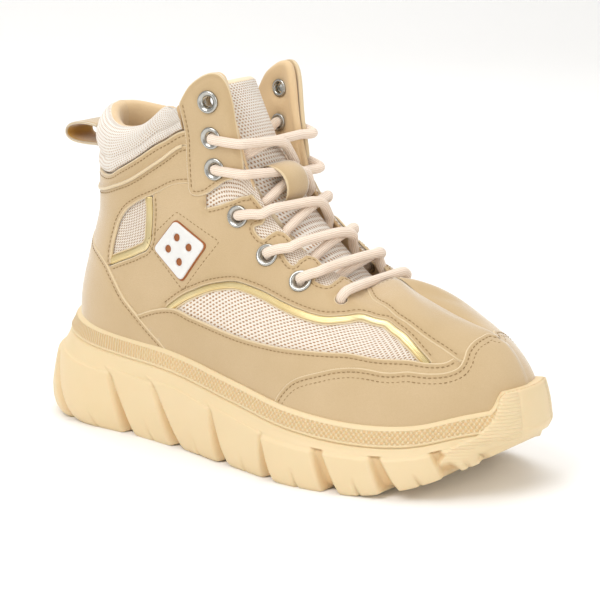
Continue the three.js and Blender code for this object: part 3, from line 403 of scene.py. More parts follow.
def lay_piece(name, parts, outer, inner, materials, holes=(), rounding=0.8, spacing=3.2,
              rims=(0.3, 0.8, 1.7, 2.3, 3.0), dents=(), shade=None):
    """A piece cut from the pattern and laid on the last, closed all round.
    parts: its outline as (kind, line), where an edge is rounded and seen, under lies beneath a
    neighbour, and join is sewn to itself. outer, inner: lift of its two faces. dents: how far in
    from its edge the stitches pull it down."""
    flat, kinds = [], []
    for kind, line in parts:
        for spot in np.asarray(line, float):
            if flat and np.linalg.norm((spot - flat[-1]) * (ACROSS, UP)) < 0.25:
                kinds[-1] = kind
                continue
            flat.append(spot)
            kinds.append(kind)
    if np.linalg.norm((flat[0] - flat[-1]) * (ACROSS, UP)) < 0.25:
        flat.pop()
        kinds.pop()
    border = np.array(flat)
    after = np.roll(border, -1, axis=0)
    if np.sum(border[:, 0] * after[:, 1] - after[:, 0] * border[:, 1]) < 0:
        border, kinds = border[::-1], kinds[::-1]
        kinds = kinds[1:] + kinds[:1]
    kinds = np.array(kinds)
    loops = [border] + [np.asarray(hole)[::-1] for hole in holes]
    seen = [kinds == "edge"] + [np.ones(len(hole), bool) for hole in holes]
    starts = np.concatenate([place(*loop.T, 0)[mark] for loop, mark in zip(loops, seen)])
    ends = np.concatenate([
        place(*np.roll(loop, -1, axis=0).T, 0)[mark] for loop, mark in zip(loops, seen)
    ])
    low, high = border.min(axis=0), border.max(axis=0)
    counts = np.maximum(((high - low) * (ACROSS * 1.1, UP) / spacing).astype(int), 2)
    grid = np.stack(np.meshgrid(*(np.linspace(low[k], high[k], counts[k] + 1)[1:-1] for k in (0, 1))), -1)
    inner_points = [grid.reshape(-1, 2)]
    reaches = [np.full(len(inner_points[0]), rims[-1] + spacing * 0.6 if rims else spacing * 0.5)]
    for loop, mark in zip(loops, seen):
        if not mark.any():
            continue
        for rim in rims if len(loop) > 30 else rims[:2]:
            ring = beside(np.concatenate([loop[-1:], loop, loop[:1]]), rim)[1:-1]
            inner_points.append(ring[mark])
            reaches.append(np.full(int(mark.sum()), rim * 0.93))
    inner_points, reaches = np.concatenate(inner_points), np.concatenate(reaches)
    keep = is_inside(inner_points, border)
    for hole in loops[1:]:
        keep &= ~is_inside(inner_points, hole)
    inner_points, reaches = inner_points[keep], reaches[keep]
    spots = place(*inner_points.T, 0)
    far = distance_to(spots, starts, ends) >= reaches if len(starts) else np.ones(len(spots), bool)
    every = np.concatenate([place(*loop.T, 0) for loop in loops])
    every_next = np.concatenate([place(*np.roll(loop, -1, axis=0).T, 0) for loop in loops])
    far &= distance_to(spots, every, every_next) > 0.2
    inner_points = inner_points[far]
    everything = np.concatenate(loops + [inner_points])
    edges, first = [], 0
    for loop in loops:
        edges += [(first + k, first + (k + 1) % len(loop)) for k in range(len(loop))]
        first += len(loop)
    scale = np.array((ACROSS, UP))
    found = delaunay_2d_cdt([Vector(p) for p in everything * scale], edges, [], 0, 1e-4)
    spots = np.array([tuple(v) for v in found[0]]) / scale
    faces = np.array([f for f in found[2] if len(f) == 3])
    centres = spots[faces].mean(axis=1)
    keep = is_inside(centres, border)
    for hole in loops[1:]:
        keep &= ~is_inside(centres, hole)
    faces = faces[keep]
    a, b, c = (spots[faces[:, k]] for k in range(3))
    turned = (b[:, 0] - a[:, 0]) * (c[:, 1] - a[:, 1]) - (c[:, 0] - a[:, 0]) * (b[:, 1] - a[:, 1]) < 0
    faces[turned] = faces[turned][:, ::-1]
    used = np.unique(faces)
    new_id = np.full(len(spots), -1)
    new_id[used] = np.arange(len(used))
    spots, faces = spots[used], new_id[faces]
    around, up = spots.T
    distance = np.full(len(spots), 99.0)
    if len(starts):
        distance = distance_to(place(around, up, 0), starts, ends)
    reach = rounding(around, up) if callable(rounding) else np.full(len(spots), rounding)
    drop = reach * (1 - np.sqrt(np.clip(1 - (1 - np.clip(distance / reach, 0, 1)) ** 2, 0, 1)))
    top = (outer(around, up) if callable(outer) else outer) - drop
    for dent in dents:
        top = top - 0.28 * np.exp(-((distance - dent) / 0.55) ** 2)
    under = inner(around, up) if callable(inner) else np.full(len(spots), inner)
    if callable(rounding):
        under = under + drop
    count = len(spots)
    points = np.concatenate([place(around, up, top), place(around, up, under)])
    sides = np.sort(np.concatenate([faces[:, [0, 1]], faces[:, [1, 2]], faces[:, [2, 0]]]), axis=1)
    directed = np.concatenate([faces[:, [0, 1]], faces[:, [1, 2]], faces[:, [2, 0]]])
    _, index, uses = np.unique(sides, axis=0, return_index=True, return_counts=True)
    rim = directed[index[uses == 1]]
    tiny = 1e-4
    on_heel, on_ridge = np.abs(np.abs(around) - 1) < tiny, (up > 1 - tiny) & (np.abs(around) < RIDGE + tiny)
    is_join = np.zeros(len(rim), bool)
    if (kinds == "join").any():
        for mark in (on_heel, on_ridge):
            is_join |= mark[rim].all(axis=1)
    rim = rim[~is_join]
    walls = np.stack([rim[:, 1], rim[:, 0], rim[:, 0] + count, rim[:, 1] + count], 1)
    all_faces = [tuple(f) for f in (*faces, *(faces[:, ::-1] + count), *walls)]
    if is_join.any():
        keys, ids, kept = {}, np.empty(len(points), int), []
        for k, spot in enumerate(np.round(points, 2)):
            joinable = on_heel[k % count] or on_ridge[k % count]
            key = tuple(spot) if joinable else k
            if key not in keys:
                keys[key] = len(kept)
                kept.append(k)
            ids[k] = keys[key]
        all_faces = [tuple(ids[list(f)]) for f in all_faces]
        all_faces = [f for f in all_faces if len(set(f)) == len(f)]
        points = points[kept]
    else:
        kept = np.arange(len(points))
    kept = np.asarray(kept)
    flat_map = np.concatenate([spots, spots])[kept] * (ACROSS * 1.15, UP)
    face_materials = None
    if shade is not None:
        top_marks = shade(around[faces].mean(axis=1), up[faces].mean(axis=1), distance[faces].mean(axis=1))
        face_materials = np.concatenate([top_marks, np.ones(len(all_faces) - len(faces), int)])
    piece = add_piece(name, points, all_faces, materials, face_materials)
    add_map(piece, flat_map)
    add_values(piece, "from_edge", np.concatenate([distance, distance * 0])[kept])
    return piece


def effect(name, inputs, outputs):
    """A named shader node group with number inputs and the given outputs"""
    group = bpy.data.node_groups.new(name, "ShaderNodeTree")
    for label, value in inputs.items():
        group.interface.new_socket(label, in_out="INPUT", socket_type="NodeSocketFloat").default_value = value
    for label in outputs:
        group.interface.new_socket(label, in_out="OUTPUT", socket_type="NodeSocketFloat")
    return group, group.nodes.new("NodeGroupInput").outputs, group.nodes.new("NodeGroupOutput")


def count(tree, operation, *values, clamp=False):
    """One arithmetic node, and its result"""
    made = node(tree, "ShaderNodeMath", dict(enumerate(values)), operation=operation, use_clamp=clamp)
    return made.outputs[0]


def map_ways(tree):
    """The two ways over a piece's flat map, in mm"""
    flat = node(tree, "ShaderNodeUVMap", uv_map="pattern").outputs[0]
    ways = node(tree, "ShaderNodeSeparateXYZ", {"Vector": flat}).outputs
    return ways["X"], ways["Y"]


def ranged(tree, value, low=0.0, high=1.0, to_low=0.0, to_high=1.0, **settings):
    """A value's range spread over another range"""
    inputs = {"Value": value, "From Min": low, "From Max": high, "To Min": to_low, "To Max": to_high}
    return node(tree, "ShaderNodeMapRange", inputs, **settings).outputs[0]


# Knit: staggered eyes between raised yarns, on the flat pattern's map
knit_sizes = {"Width": 2.5, "Height": 1.9, "Eye": 0.3, "Slant": 0.25}
knit, given, result = effect("knit_weave", knit_sizes, ("Eye", "Relief", "Yarn"))
course, wale = map_ways(knit)
across = count(knit, "DIVIDE", course, given["Width"])
along = count(knit, "DIVIDE", wale, given["Height"])
across = count(knit, "ADD", across, count(knit, "MULTIPLY", along, given["Slant"]))
row = count(knit, "FLOOR", along)
shifted = count(knit, "ADD", across, count(knit, "MULTIPLY", count(knit, "MODULO", row, 2.0), 0.5))
cell_x = count(knit, "SUBTRACT", count(knit, "FRACT", shifted), 0.5)
cell_y = count(knit, "SUBTRACT", count(knit, "FRACT", along), 0.5)
lean = count(knit, "ADD", cell_x, count(knit, "MULTIPLY", cell_y, 0.35))
long_way = count(knit, "POWER", count(knit, "MULTIPLY", lean, 1.25), 2.0)
short_way = count(knit, "POWER", cell_y, 2.0)
far = count(knit, "SQRT", count(knit, "ADD", long_way, short_way))
eye_within, eye_outside = (count(knit, "MULTIPLY", given["Eye"], share) for share in (0.62, 1.15))
eye = ranged(knit, far, eye_within, eye_outside, 1.0, 0.0, interpolation_type="SMOOTHSTEP")
yarns = count(knit, "ABSOLUTE", count(knit, "SINE", count(knit, "MULTIPLY", shifted, 18.85)))
relief = count(knit, "SUBTRACT", count(knit, "MULTIPLY", yarns, 0.25), eye)
for label, value in (("Eye", eye), ("Relief", relief), ("Yarn", yarns)):
    knit.links.new(value, result.inputs[label])

# Cloud: soft unevenness of a dyed or moulded surface, from 0 to 1
cloud, given, result = effect("soft_cloud", {"Scale": 20.0, "Detail": 4.0}, ("Cloud", "Grain"))
spot = node(cloud, "ShaderNodeTexCoord").outputs["Object"]
broad = node(
    cloud, "ShaderNodeTexNoise",
    {"Vector": spot, "Scale": given["Scale"], "Detail": given["Detail"]}
)
fine = node(cloud, "ShaderNodeTexNoise", {"Vector": spot, "Scale": 1500.0, "Detail": 3.0, "Roughness": 0.7})
cloud.links.new(broad.outputs[0], result.inputs["Cloud"])
cloud.links.new(fine.outputs[0], result.inputs["Grain"])


def blend_colours(tree, share, first, second):
    """A mix of two colours by a share from 0 to 1"""
    made = node(tree, "ShaderNodeMix", {"Factor": share}, data_type="RGBA")
    for socket, value in ((made.inputs[6], first), (made.inputs[7], second)):
        if isinstance(value, bpy.types.NodeSocket):
            tree.links.new(value, socket)
        else:
            socket.default_value = value
    return made.outputs[2]


def use_effect(tree, group, **values):
    """An effect placed in a material with its own values"""
    made = tree.nodes.new("ShaderNodeGroup")
    made.node_tree = group
    for key, value in values.items():
        made.inputs[key].default_value = value
    return made.outputs


def emboss(tree, shader, height, distance, strength=1.0):
    """Low relief on a material: height in shares of distance, which is in metres"""
    bump = node(tree, "ShaderNodeBump", {"Height": height, "Distance": distance, "Strength": strength})
    tree.links.new(bump.outputs[0], shader.inputs["Normal"])


def knit_material(name, pale, deep, **weave):
    """Pale yarn, whiter on its raised crests as painted highlight, with eyes that show the lining darkened as
    painted shade
    """
    made, tree, shader = new_material(name, roughness=0.85, sheen_weight=0.25, sheen_roughness=0.5)
    cells = use_effect(tree, knit, **weave)
    clouds = use_effect(tree, cloud, Scale=35.0)
    # painted highlight: the raised yarns are mixed whiter, and their valleys stay darker
    yarn = blend_colours(tree, count(tree, "MULTIPLY", cells["Yarn"], 0.35), colour(pale), colour("fffaf0"))
    yarn = blend_colours(tree, count(tree, "MULTIPLY", clouds["Cloud"], 0.1), yarn, colour("e0c7a6"))
    # the eyes: the lining seen through them, darkened as painted shade
    tree.links.new(blend_colours(tree, cells["Eye"], yarn, colour(deep)), shader.inputs["Base Color"])
    emboss(tree, shader, cells["Relief"], 0.0004)
    return made


def clouded(name, scale, dark, light, relief=0, **surface):
    """A material of one soft, uneven colour with a fine grain"""
    made, tree, shader = new_material(name, **surface)
    clouds = use_effect(tree, cloud, Scale=scale)
    tone = blend_colours(tree, clouds["Cloud"], colour(dark), colour(light))
    tree.links.new(tone, shader.inputs["Base Color"])
    if relief:
        emboss(tree, shader, clouds["Grain"], relief)
    return made, tree, shader, clouds


# Each knit's second colour is its eyes: the lining seen through them, in painted shade
window_knit = knit_material("window_knit", "f5e8d8", "bd9164", Width=2.35, Height=1.55, Eye=0.35, Slant=0.3)
CLOTH = {"roughness": 0.8, "sheen_weight": 0.4, "sheen_roughness": 0.4}
lining_cloth = clouded("lining_cloth", 28.0, "d6b68a", "e6cba1", 0.00025, **CLOTH)[0]

COLLAR_SEAM = [
    (1.0, 0.74), (0.95, 0.747), (0.9, 0.764), (0.852, 0.788), (0.826, 0.82), (0.787, 0.848),
    (0.751, 0.85), (0.713, 0.834), (0.664, 0.811),
]
FLAP_BACK = [(0.641, 0.602), (0.653, 0.703), (0.661, 0.8), (0.672, 0.87), (0.684, 0.93)]
FLAP_TOP = [(0.684, 0.93), (0.668, 0.962), (0.642, 0.987), (0.61, 1.0), (0.585, 1.0), (0.571, 0.993)]
THROAT = [
    (0.563, 0.985), (0.54, 0.965), (0.508, 0.955), (0.495, 0.942), (0.475, 0.9),
    (0.457, 0.877), (0.432, 0.885), (0.407, 0.892), (0.374, 0.938), (0.341, 0.972),
    (0.315, 0.996), (0.29, 1.0), (RIDGE, 1.0),
]
EYELETS = ((0.621, 0.9), (0.611, 0.784), (0.598, 0.692), (0.535, 0.645), (0.468, 0.629), (0.405, 0.641))
PLAIN_HOLE = (0.334, 0.703)
EYELET_HOLE = 5.6


def hole_at(around, up, diameter, corners=20):
    """A round hole's outline on the pattern"""
    by_round, by_up = slopes_on_last(np.array([around]), np.array([up]))
    length = np.linalg.norm(by_round[0])
    slant = by_up[0] @ by_round[0] / length
    height = math.sqrt(max(by_up[0] @ by_up[0] - slant ** 2, 1))
    angle = 2 * np.pi * np.arange(corners) / corners
    rise = diameter / 2 * np.sin(angle) / height
    return np.stack([around + (diameter / 2 * np.cos(angle) - rise * slant) / length, up + rise], 1)


def wall_rounding(around, up):
    """The shell's rims are as round as its wall is thick"""
    return np.maximum((WALL_OUT - wall_in(around, up)) / 2 - 0.12, 0.7)


half = [
    ("join", np.stack([np.ones(60), np.linspace(0, COLLAR_SEAM[0][1], 60)], 1)),
    ("edge", smooth_line(COLLAR_SEAM)),
    ("edge", smooth_line([(0.664, 0.811), (0.673, 0.875), (0.684, 0.93)])),
    ("edge", smooth_line(FLAP_TOP)),
    ("edge", smooth_line(THROAT)),
    ("join", np.stack([np.linspace(RIDGE, 0, 60), np.ones(60)], 1)),
]
shell_parts = half + [(kind, mirrored(line)[::-1]) for kind, line in half[::-1]]
shell_parts.append(("under", np.stack([np.linspace(-1, 1, 400), np.zeros(400)], 1)))
shell_holes = [
    hole_at(side * around, up, EYELET_HOLE)
    for side in (1, -1) for around, up in (*EYELETS, PLAIN_HOLE)
]


def shell_shade(around, up, distance):
    """The rims round the flaps are lining turned outward"""
    return ((np.abs(around) > 0.5) & (up > 0.6) & (distance < 2.2)).astype(int)


upper_shell = lay_piece(
    "upper_shell", shell_parts, lambda a, u: np.full(len(a), WALL_OUT), wall_in,
    [window_knit, lining_cloth], shell_holes, rounding=wall_rounding, shade=shell_shade,
)
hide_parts("upper")

# Leather pieces: brushed synthetic leather with pale cut edges, each glued over its neighbour
# and sewn down with a darker thread, two rows of it on the toe cap. The thread's darkness is
# partly its own colour and partly painted shade of the stitch holes.
SEAM_THREAD = 2.3  # from a cut edge to its row of stitches, mm
STITCH, STITCH_PITCH = 1.7, 2.5


def nubuck_material(name, light, dark):
    """Brushed leather: soft clouds, a fine nap and pale cut edges"""
    made, tree, shader = new_material(name, roughness=0.78, sheen_weight=0.8, sheen_roughness=0.4)
    clouds = use_effect(tree, cloud, Scale=16.0, Detail=6.0)
    speck = count(tree, "MULTIPLY", ranged(tree, clouds["Grain"], 0.3, 0.75), 0.18)
    tone = blend_colours(tree, ranged(tree, clouds["Cloud"], 0.3, 0.7), colour(dark), colour(light))
    tone = blend_colours(tree, speck, tone, colour("a88658"))
    rim = node(tree, "ShaderNodeAttribute", attribute_name="from_edge").outputs["Fac"]
    pale = ranged(tree, rim, 0.45, 0.95, 0.85, 0.0, interpolation_type="SMOOTHSTEP")
    tone = blend_colours(tree, pale, tone, colour("e6d3ae"))
    # darker within five mm of a seen edge
    darker_by_edge = ranged(tree, rim, 0.9, 5.0, 0.16, 0.0)
    tree.links.new(blend_colours(tree, darker_by_edge, tone, colour("a4814f")), shader.inputs["Base Color"])
    tree.links.new(ranged(tree, clouds["Cloud"], 0, 1, 0.7, 0.86), shader.inputs["Roughness"])
    emboss(tree, shader, clouds["Grain"], 0.0002, 0.8)
    return made


nubuck = nubuck_material("brushed_leather", "ccb38d", "bfa57c")
# thread colour darker than the leather, partly its own and partly painted shade of the stitch holes
thread, tree, shader = new_material("sewing_thread", base_color=colour("9d7f52"), roughness=0.8)
spot = node(tree, "ShaderNodeTexCoord").outputs["Object"]
ply = node(
    tree, "ShaderNodeTexWave", {"Vector": spot, "Scale": 900.0, "Distortion": 2.0},
    wave_type="BANDS", bands_direction="DIAGONAL",
).outputs["Fac"]
# painted shade: the twist's grooves are coloured darker and its raised plies paler
tone = blend_colours(tree, ply, colour("8a6c40"), colour("b89a6b"))
tree.links.new(tone, shader.inputs["Base Color"])
emboss(tree, shader, ply, 0.0002)


def sew(name, rows, material=thread, width=0.5, length=STITCH, pitch=STITCH_PITCH):
    """Rows of separate stitches. rows: pattern lines with a lift or lifts for their points"""
    points, faces = [], []
    ring = np.array([(math.cos(t), math.sin(t)) for t in np.arange(6) * math.pi / 3])
    for line, lift in rows:
        path = place(line[:, 0], line[:, 1], lift)
        away = normals_on_last(line[:, 0], line[:, 1])
        along = np.concatenate([[0], np.cumsum(np.linalg.norm(np.diff(path, axis=0), axis=1))])
        for at in np.arange(pitch * 0.6, along[-1] - pitch * 0.4, pitch):
            middle, ahead_of, behind = (
                np.array([np.interp(at + d, along, path[:, k]) for k in range(3)])
                for d in (0, length / 2, -length / 2)
            )
            out = np.array([np.interp(at, along, away[:, k]) for k in range(3)])
            run = ahead_of - behind
            run /= np.linalg.norm(run) + 1e-9
            side = np.cross(out, run)
            first = len(points)
            points.append(middle - run * length / 2 - out * 0.15)
            for share, size in ((-0.34, 0.9), (0.34, 0.9)):
                for c, s in ring:
                    spread = side * c * width / 2 * size + out * s * width / 2 * size
                    points.append(middle + run * length * share + spread)
            points.append(middle + run * length / 2 - out * 0.15)
            last = first + 13
            for k in range(6):
                a, b = first + 1 + k, first + 1 + (k + 1) % 6
                faces += [(first, b, a), (a, b, b + 6, a + 6), (last, a + 6, b + 6)]
    return add_piece(name, points, faces, [material])


def leather_piece(node_name, parts, outer, holes=(), rows=(SEAM_THREAD,)):
    """A leather piece with its stitches, in the place of its node"""
    name = node_name + "_leather"
    sewn = [("edge" if kind == "plain edge" else kind, line) for kind, line in parts]
    made = lay_piece(name, sewn, outer, -PANEL, [nubuck], holes, rounding=0.75, dents=rows)
    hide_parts(node_name)
    area = sum(
        np.sum(line[:-1, 0] * line[1:, 1] - line[1:, 0] * line[:-1, 1]) for _, line in parts
    )
    left = 1 if area > 0 else -1
    stitched = []
    for kind, line in parts:
        if kind != "edge":
            continue
        for row in rows:
            inset = beside(line, left * row)
            stitched.append((inset, np.full(len(inset), outer - 0.12)))
    if stitched:
        sew("stitches_" + name, stitched)
    return made


COUNTER_SEAM = [
    (1.0, 0.43), (0.93, 0.432), (0.88, 0.415), (0.839, 0.395), (0.806, 0.359), (0.777, 0.305),
    (0.734, 0.205), (0.7, 0.145), (0.669, 0.093), (0.638, 0.046), (0.612, -0.02),
]
GUARD_SEAM = [
    (0.7, 0.145), (0.674, 0.167), (0.633, 0.189), (0.598, 0.185), (0.558, 0.193), (0.51, 0.212),
    (0.44, 0.263), (0.4, 0.305), (0.355, 0.355), (0.326, 0.386), (0.281, 0.402), (0.239, 0.362),
    (0.208, 0.351), (0.181, 0.368), (0.163, 0.405),
]
CAP_SEAM = [
    (0.448, -0.02), (0.44, 0.035), (0.43, 0.089), (0.414, 0.151), (0.37, 0.245), (0.341, 0.295),
    (0.296, 0.335), (0.254, 0.312), (0.209, 0.296), (0.183, 0.308), (0.158, 0.348), (0.148, 0.39),
    (0.135, 0.467), (0.111, 0.556), (0.078, 0.641), (0.035, 0.725), (0.0, 0.745),
]
STRIP_SEAM = [
    (0.283, 1.0), (0.283, 0.95), (0.279, 0.834), (0.264, 0.722), (0.248, 0.602), (0.224, 0.525),
    (0.201, 0.475), (0.182, 0.445), (0.155, 0.385),
]
TRIM_SEAM = [
    (1.0, 0.652), (0.95, 0.655), (0.922, 0.664), (0.88, 0.695), (0.824, 0.741), (0.772, 0.765),
    (0.723, 0.764), (0.66, 0.757), (0.648, 0.753),
]
BAND_SEAM = [
    (0.64, 0.618), (0.696, 0.625), (0.733, 0.629), (0.77, 0.632), (0.793, 0.612), (0.805, 0.57),
    (0.808, 0.5), (0.802, 0.42), (0.791, 0.355),
]
TABS = [
    (0.606, 0.55), (0.588, 0.578), (0.556, 0.66), (0.52, 0.784), (0.499, 0.86), (0.477, 0.86),
    (0.48, 0.77), (0.495, 0.69), (0.482, 0.685), (0.468, 0.74), (0.446, 0.835), (0.432, 0.865),
    (0.418, 0.86), (0.424, 0.795), (0.436, 0.71), (0.425, 0.695), (0.407, 0.78), (0.388, 0.88),
    (0.373, 0.912), (0.362, 0.885), (0.368, 0.799), (0.378, 0.715), (0.362, 0.735), (0.342, 0.84),
    (0.322, 0.965), (0.305, 1.0),
]
WINDOW_TOP = [
    (0.645, 0.189), (0.621, 0.239), (0.588, 0.297), (0.551, 0.359), (0.512, 0.418), (0.473, 0.452),
    (0.437, 0.469), (0.404, 0.49), (0.367, 0.525), (0.331, 0.595), (0.291, 0.68), (0.271, 0.65),
    (0.252, 0.552), (0.229, 0.452), (0.206, 0.358),
]
FLAP_FRONT = [(0.572, 0.99), (0.548, 0.938), (0.531, 0.9), (0.551, 0.764), (0.572, 0.697)]
FLAP_FOOT = [
    (0.572, 0.697), (0.593, 0.633), (0.615, 0.585), (0.625, 0.578), (0.634, 0.582), (0.641, 0.602),
]
REAR_WINDOW = [
    (0.728, 0.622), (0.721, 0.58), (0.708, 0.47), (0.704, 0.43), (0.708, 0.403), (0.725, 0.389),
    (0.779, 0.36), (0.792, 0.35),
]


def lapped(points, distance):
    """A smooth seam line moved to its left, for what lies beneath the neighbour"""
    return beside(smooth_line(points), distance)


def on_side(side, parts):
    """Parts drawn for the outer side, or mirrored to the inner side"""
    return parts if side > 0 else [(kind, mirrored(line)) for kind, line in parts]


def foot_line(start, end):
    """The hidden lower edge between two places round the boot"""
    steps = max(2, int(abs(end - start) * 300))
    return np.stack([np.linspace(start, end, steps), np.zeros(steps)], 1)


SIDES = ((1, "lateral"), (-1, "medial"))
LAP, CAP_LAP = 2.2, 2.4  # how far a piece runs on beneath its neighbour
FLAP_RINGS, FLAP_LIFT = 3, 1.0  # pairs of rings in the flaps, and how far the flaps stand out
for side, which in SIDES:
    parts = [
        ("under", lapped(BAND_SEAM[:3], LAP)),
        ("edge", smooth_line(REAR_WINDOW)),
        ("under", lapped(COUNTER_SEAM[4:8], LAP)),
        ("under", lapped(GUARD_SEAM[:3], LAP)),
        ("edge", smooth_line(WINDOW_TOP)),
        ("under", lapped(GUARD_SEAM[12:], LAP)),
        ("under", lapped(STRIP_SEAM, -LAP)[::-1]),
        ("edge", smooth_line(TABS)[::-1]),
        ("under", smooth_line([(0.606, 0.55), (0.612, 0.61), (0.628, 0.655), (0.64, 0.655)])),
    ]
    holes = [hole_at(side * a, u, EYELET_HOLE) for a, u in (*EYELETS[FLAP_RINGS:], PLAIN_HOLE)]
    leather_piece(f"quarter_{which}", on_side(side, parts), outer=0.0, holes=holes)
    parts = [
        ("under", lapped(COUNTER_SEAM[7:], LAP)[::-1]),
        ("edge", smooth_line(GUARD_SEAM)),
        ("under", lapped(CAP_SEAM[:12], CAP_LAP)[::-1]),
        ("under", foot_line(0.44, 0.61)),
    ]
    leather_piece(f"mudguard_{which}", on_side(side, parts), outer=0.55)
    parts = [
        ("edge", smooth_line(FLAP_BACK)),
        ("plain edge", smooth_line([*FLAP_TOP[:-1], (0.572, 0.99)])),
        ("plain edge", smooth_line(FLAP_FRONT)),
        ("edge", smooth_line(FLAP_FOOT)),
    ]
    holes = [hole_at(side * a, u, EYELET_HOLE) for a, u in EYELETS[:FLAP_RINGS]]
    leather_piece(f"eyestay_flap_{which}", on_side(side, parts), outer=FLAP_LIFT, holes=holes)

cap = smooth_line(CAP_SEAM)
parts = [("edge", np.concatenate([cap, mirrored(cap)[::-1][1:]])), ("under", foot_line(-0.448, 0.448))]
leather_piece("toe_cap", parts, outer=0.95, rows=(SEAM_THREAD, SEAM_THREAD + 2.6))
strip = smooth_line(STRIP_SEAM)
tip = lapped(CAP_SEAM[11:], CAP_LAP)
parts = [
    ("edge", strip),
    ("under", np.concatenate([tip, mirrored(tip)[::-1][1:]])),
    ("edge", mirrored(strip)[::-1]),
    ("edge", np.stack([np.linspace(-0.283, -RIDGE, 12), np.ones(12)], 1)),
    ("join", np.stack([np.linspace(-RIDGE, RIDGE, 121), np.ones(121)], 1)),
    ("edge", np.stack([np.linspace(RIDGE, 0.283, 12), np.ones(12)], 1)),
]
leather_piece("vamp_strip", parts, outer=0.5)
counter = smooth_line(COUNTER_SEAM)
parts = [
    ("edge", np.concatenate([counter[::-1], across_heel(counter)[1:]])),
    ("under", foot_line(1.388, 0.612))
]
leather_piece("heel_counter", parts, outer=0.9)
top = smooth_line(TRIM_SEAM)
front = smooth_line(BAND_SEAM)
foot_of = lapped(COUNTER_SEAM[:5], LAP)
parts = [
    ("edge", np.concatenate([top[::-1], across_heel(top)[1:]])),
    ("under", across_heel(np.array([(0.648, 0.753), (0.642, 0.69), (0.64, 0.618)]))),
    ("edge", across_heel(front)),
    ("under", np.concatenate([across_heel(foot_of)[::-1], foot_of[1:]])),
    ("edge", front[::-1]),
    ("under", np.array([(0.64, 0.618), (0.642, 0.69), (0.648, 0.753)])),
]
leather_piece("ankle_band", parts, outer=0.5)
top = smooth_line([*COLLAR_SEAM, (0.652, 0.806)])
low = smooth_line(TRIM_SEAM)
parts = [
    ("edge", np.concatenate([top[::-1], across_heel(top)[1:]])),
    ("under", across_heel(np.array([(0.652, 0.806), (0.648, 0.753)]))),
    ("plain edge", np.concatenate([across_heel(low)[::-1], low[1:]])),
    ("under", np.array([(0.648, 0.753), (0.652, 0.806)])),
]
leather_piece("collar_trim", parts, outer=0.75)

# Trims: gold foil tape laid under the quarter's cut edges round both windows, each with a pale
# cord on its inner side, and a pale folded cord sewn along the foot of the collar trim.


def round_faces(rows, size, flipped=False, closed=True, joined=False):
    """Faces between rings of points. closed: its end rings are filled; joined: its last ring
    meets its first"""
    faces = []
    for k in range(rows if joined else rows - 1):
        here, following = k * size, (k + 1) % rows * size
        for i in range(size):
            j = (i + 1) % size
            face = (here + i, here + j, following + j, following + i)
            faces.append((face[0], *face[:0:-1]) if flipped else face)
    if closed:
        step = 1 if flipped else -1
        faces.append(tuple(range(size))[::step])
        faces.append(tuple(range((rows - 1) * size, rows * size))[::-step])
    return faces


def lay_strip(name, line, section, material):
    """A trim along a pattern line. section: its outline as (to the left, lift) in mm"""
    line = np.asarray(line, float)
    rows = np.stack([place(*beside(line, left).T, lift) for left, lift in section], 1)
    made = add_piece(name, rows.reshape(-1, 3), round_faces(len(line), len(section)), [material])
    along = np.concatenate([[0], np.cumsum(np.linalg.norm(np.diff(rows[:, 0], axis=0), axis=1))])
    lefts = np.tile([left for left, lift in section], len(line))
    add_map(made, np.stack([np.repeat(along, len(section)), lefts], 1))
    return made


foil, tree, shader = new_material("gold_foil", base_color=colour("e2c471"), metallic=1.0, roughness=0.3)
ridges = count(tree, "SINE", count(tree, "MULTIPLY", map_ways(tree)[1], 10.0))
ridges = count(tree, "ADD", count(tree, "MULTIPLY", ridges, 0.5), 0.5)
clouds = use_effect(tree, cloud, Scale=45.0)
tone = blend_colours(tree, clouds["Cloud"], colour("dec27c"), colour("f7ecc6"))
tone = blend_colours(tree, count(tree, "MULTIPLY", ridges, 0.3), tone, colour("b08a3a"))
tree.links.new(tone, shader.inputs["Base Color"])
emboss(tree, shader, ridges, 0.00008)
cut_edge = nubuck_material("pale_cord", "e8d8b6", "dccaa2")


def round_section(left, lift, radius, corners=8):
    """A cord's section"""
    angles = 2 * np.pi * np.arange(corners) / corners
    return [(left + radius * math.cos(t), lift + radius * math.sin(t)) for t in angles]


FOIL_SECTION = [(0.2, -1.3), (0.2, -0.15), (1.0, 0.1), (1.9, 0.15), (2.8, 0.0), (3.3, -0.5), (3.3, -1.3)]
for side, which in SIDES:
    for part, seam, width in (("piping", WINDOW_TOP, 1.0), ("window_trim", REAR_WINDOW, 1.35)):
        line = smooth_line(seam) * (side, 1)
        section = [(side * width * left, lift) for left, lift in FOIL_SECTION]
        trim = lay_strip(f"{part}_{which}_foil", line, section, foil)
        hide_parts(f"{part}_{which}")
        beside_foil = round_section(side * (width * 3.3 + 0.4), -1.15, 0.5)
        lay_strip(f"{part}_{which}_cord", line, beside_foil, cut_edge)

half_seam = smooth_line(TRIM_SEAM)
half_seam = half_seam[half_seam[:, 0] > 0.661]
cord_line = np.concatenate([half_seam[::-1], across_heel(half_seam)[1:]])
lay_strip("collar_trim_cord", cord_line, round_section(0.0, 0.75, 0.85), cut_edge)

# Badge: a rounded square of white moulded rubber on a brown base, glued point up in a frame of
# stitches. Four plain round windows in it show the brown base.
BADGE = [(0.656, 0.5), (0.59, 0.432), (0.623, 0.294), (0.688, 0.39)]
FRAME = [(0.658, 0.53), (0.568, 0.452), (0.619, 0.262), (0.708, 0.41)]


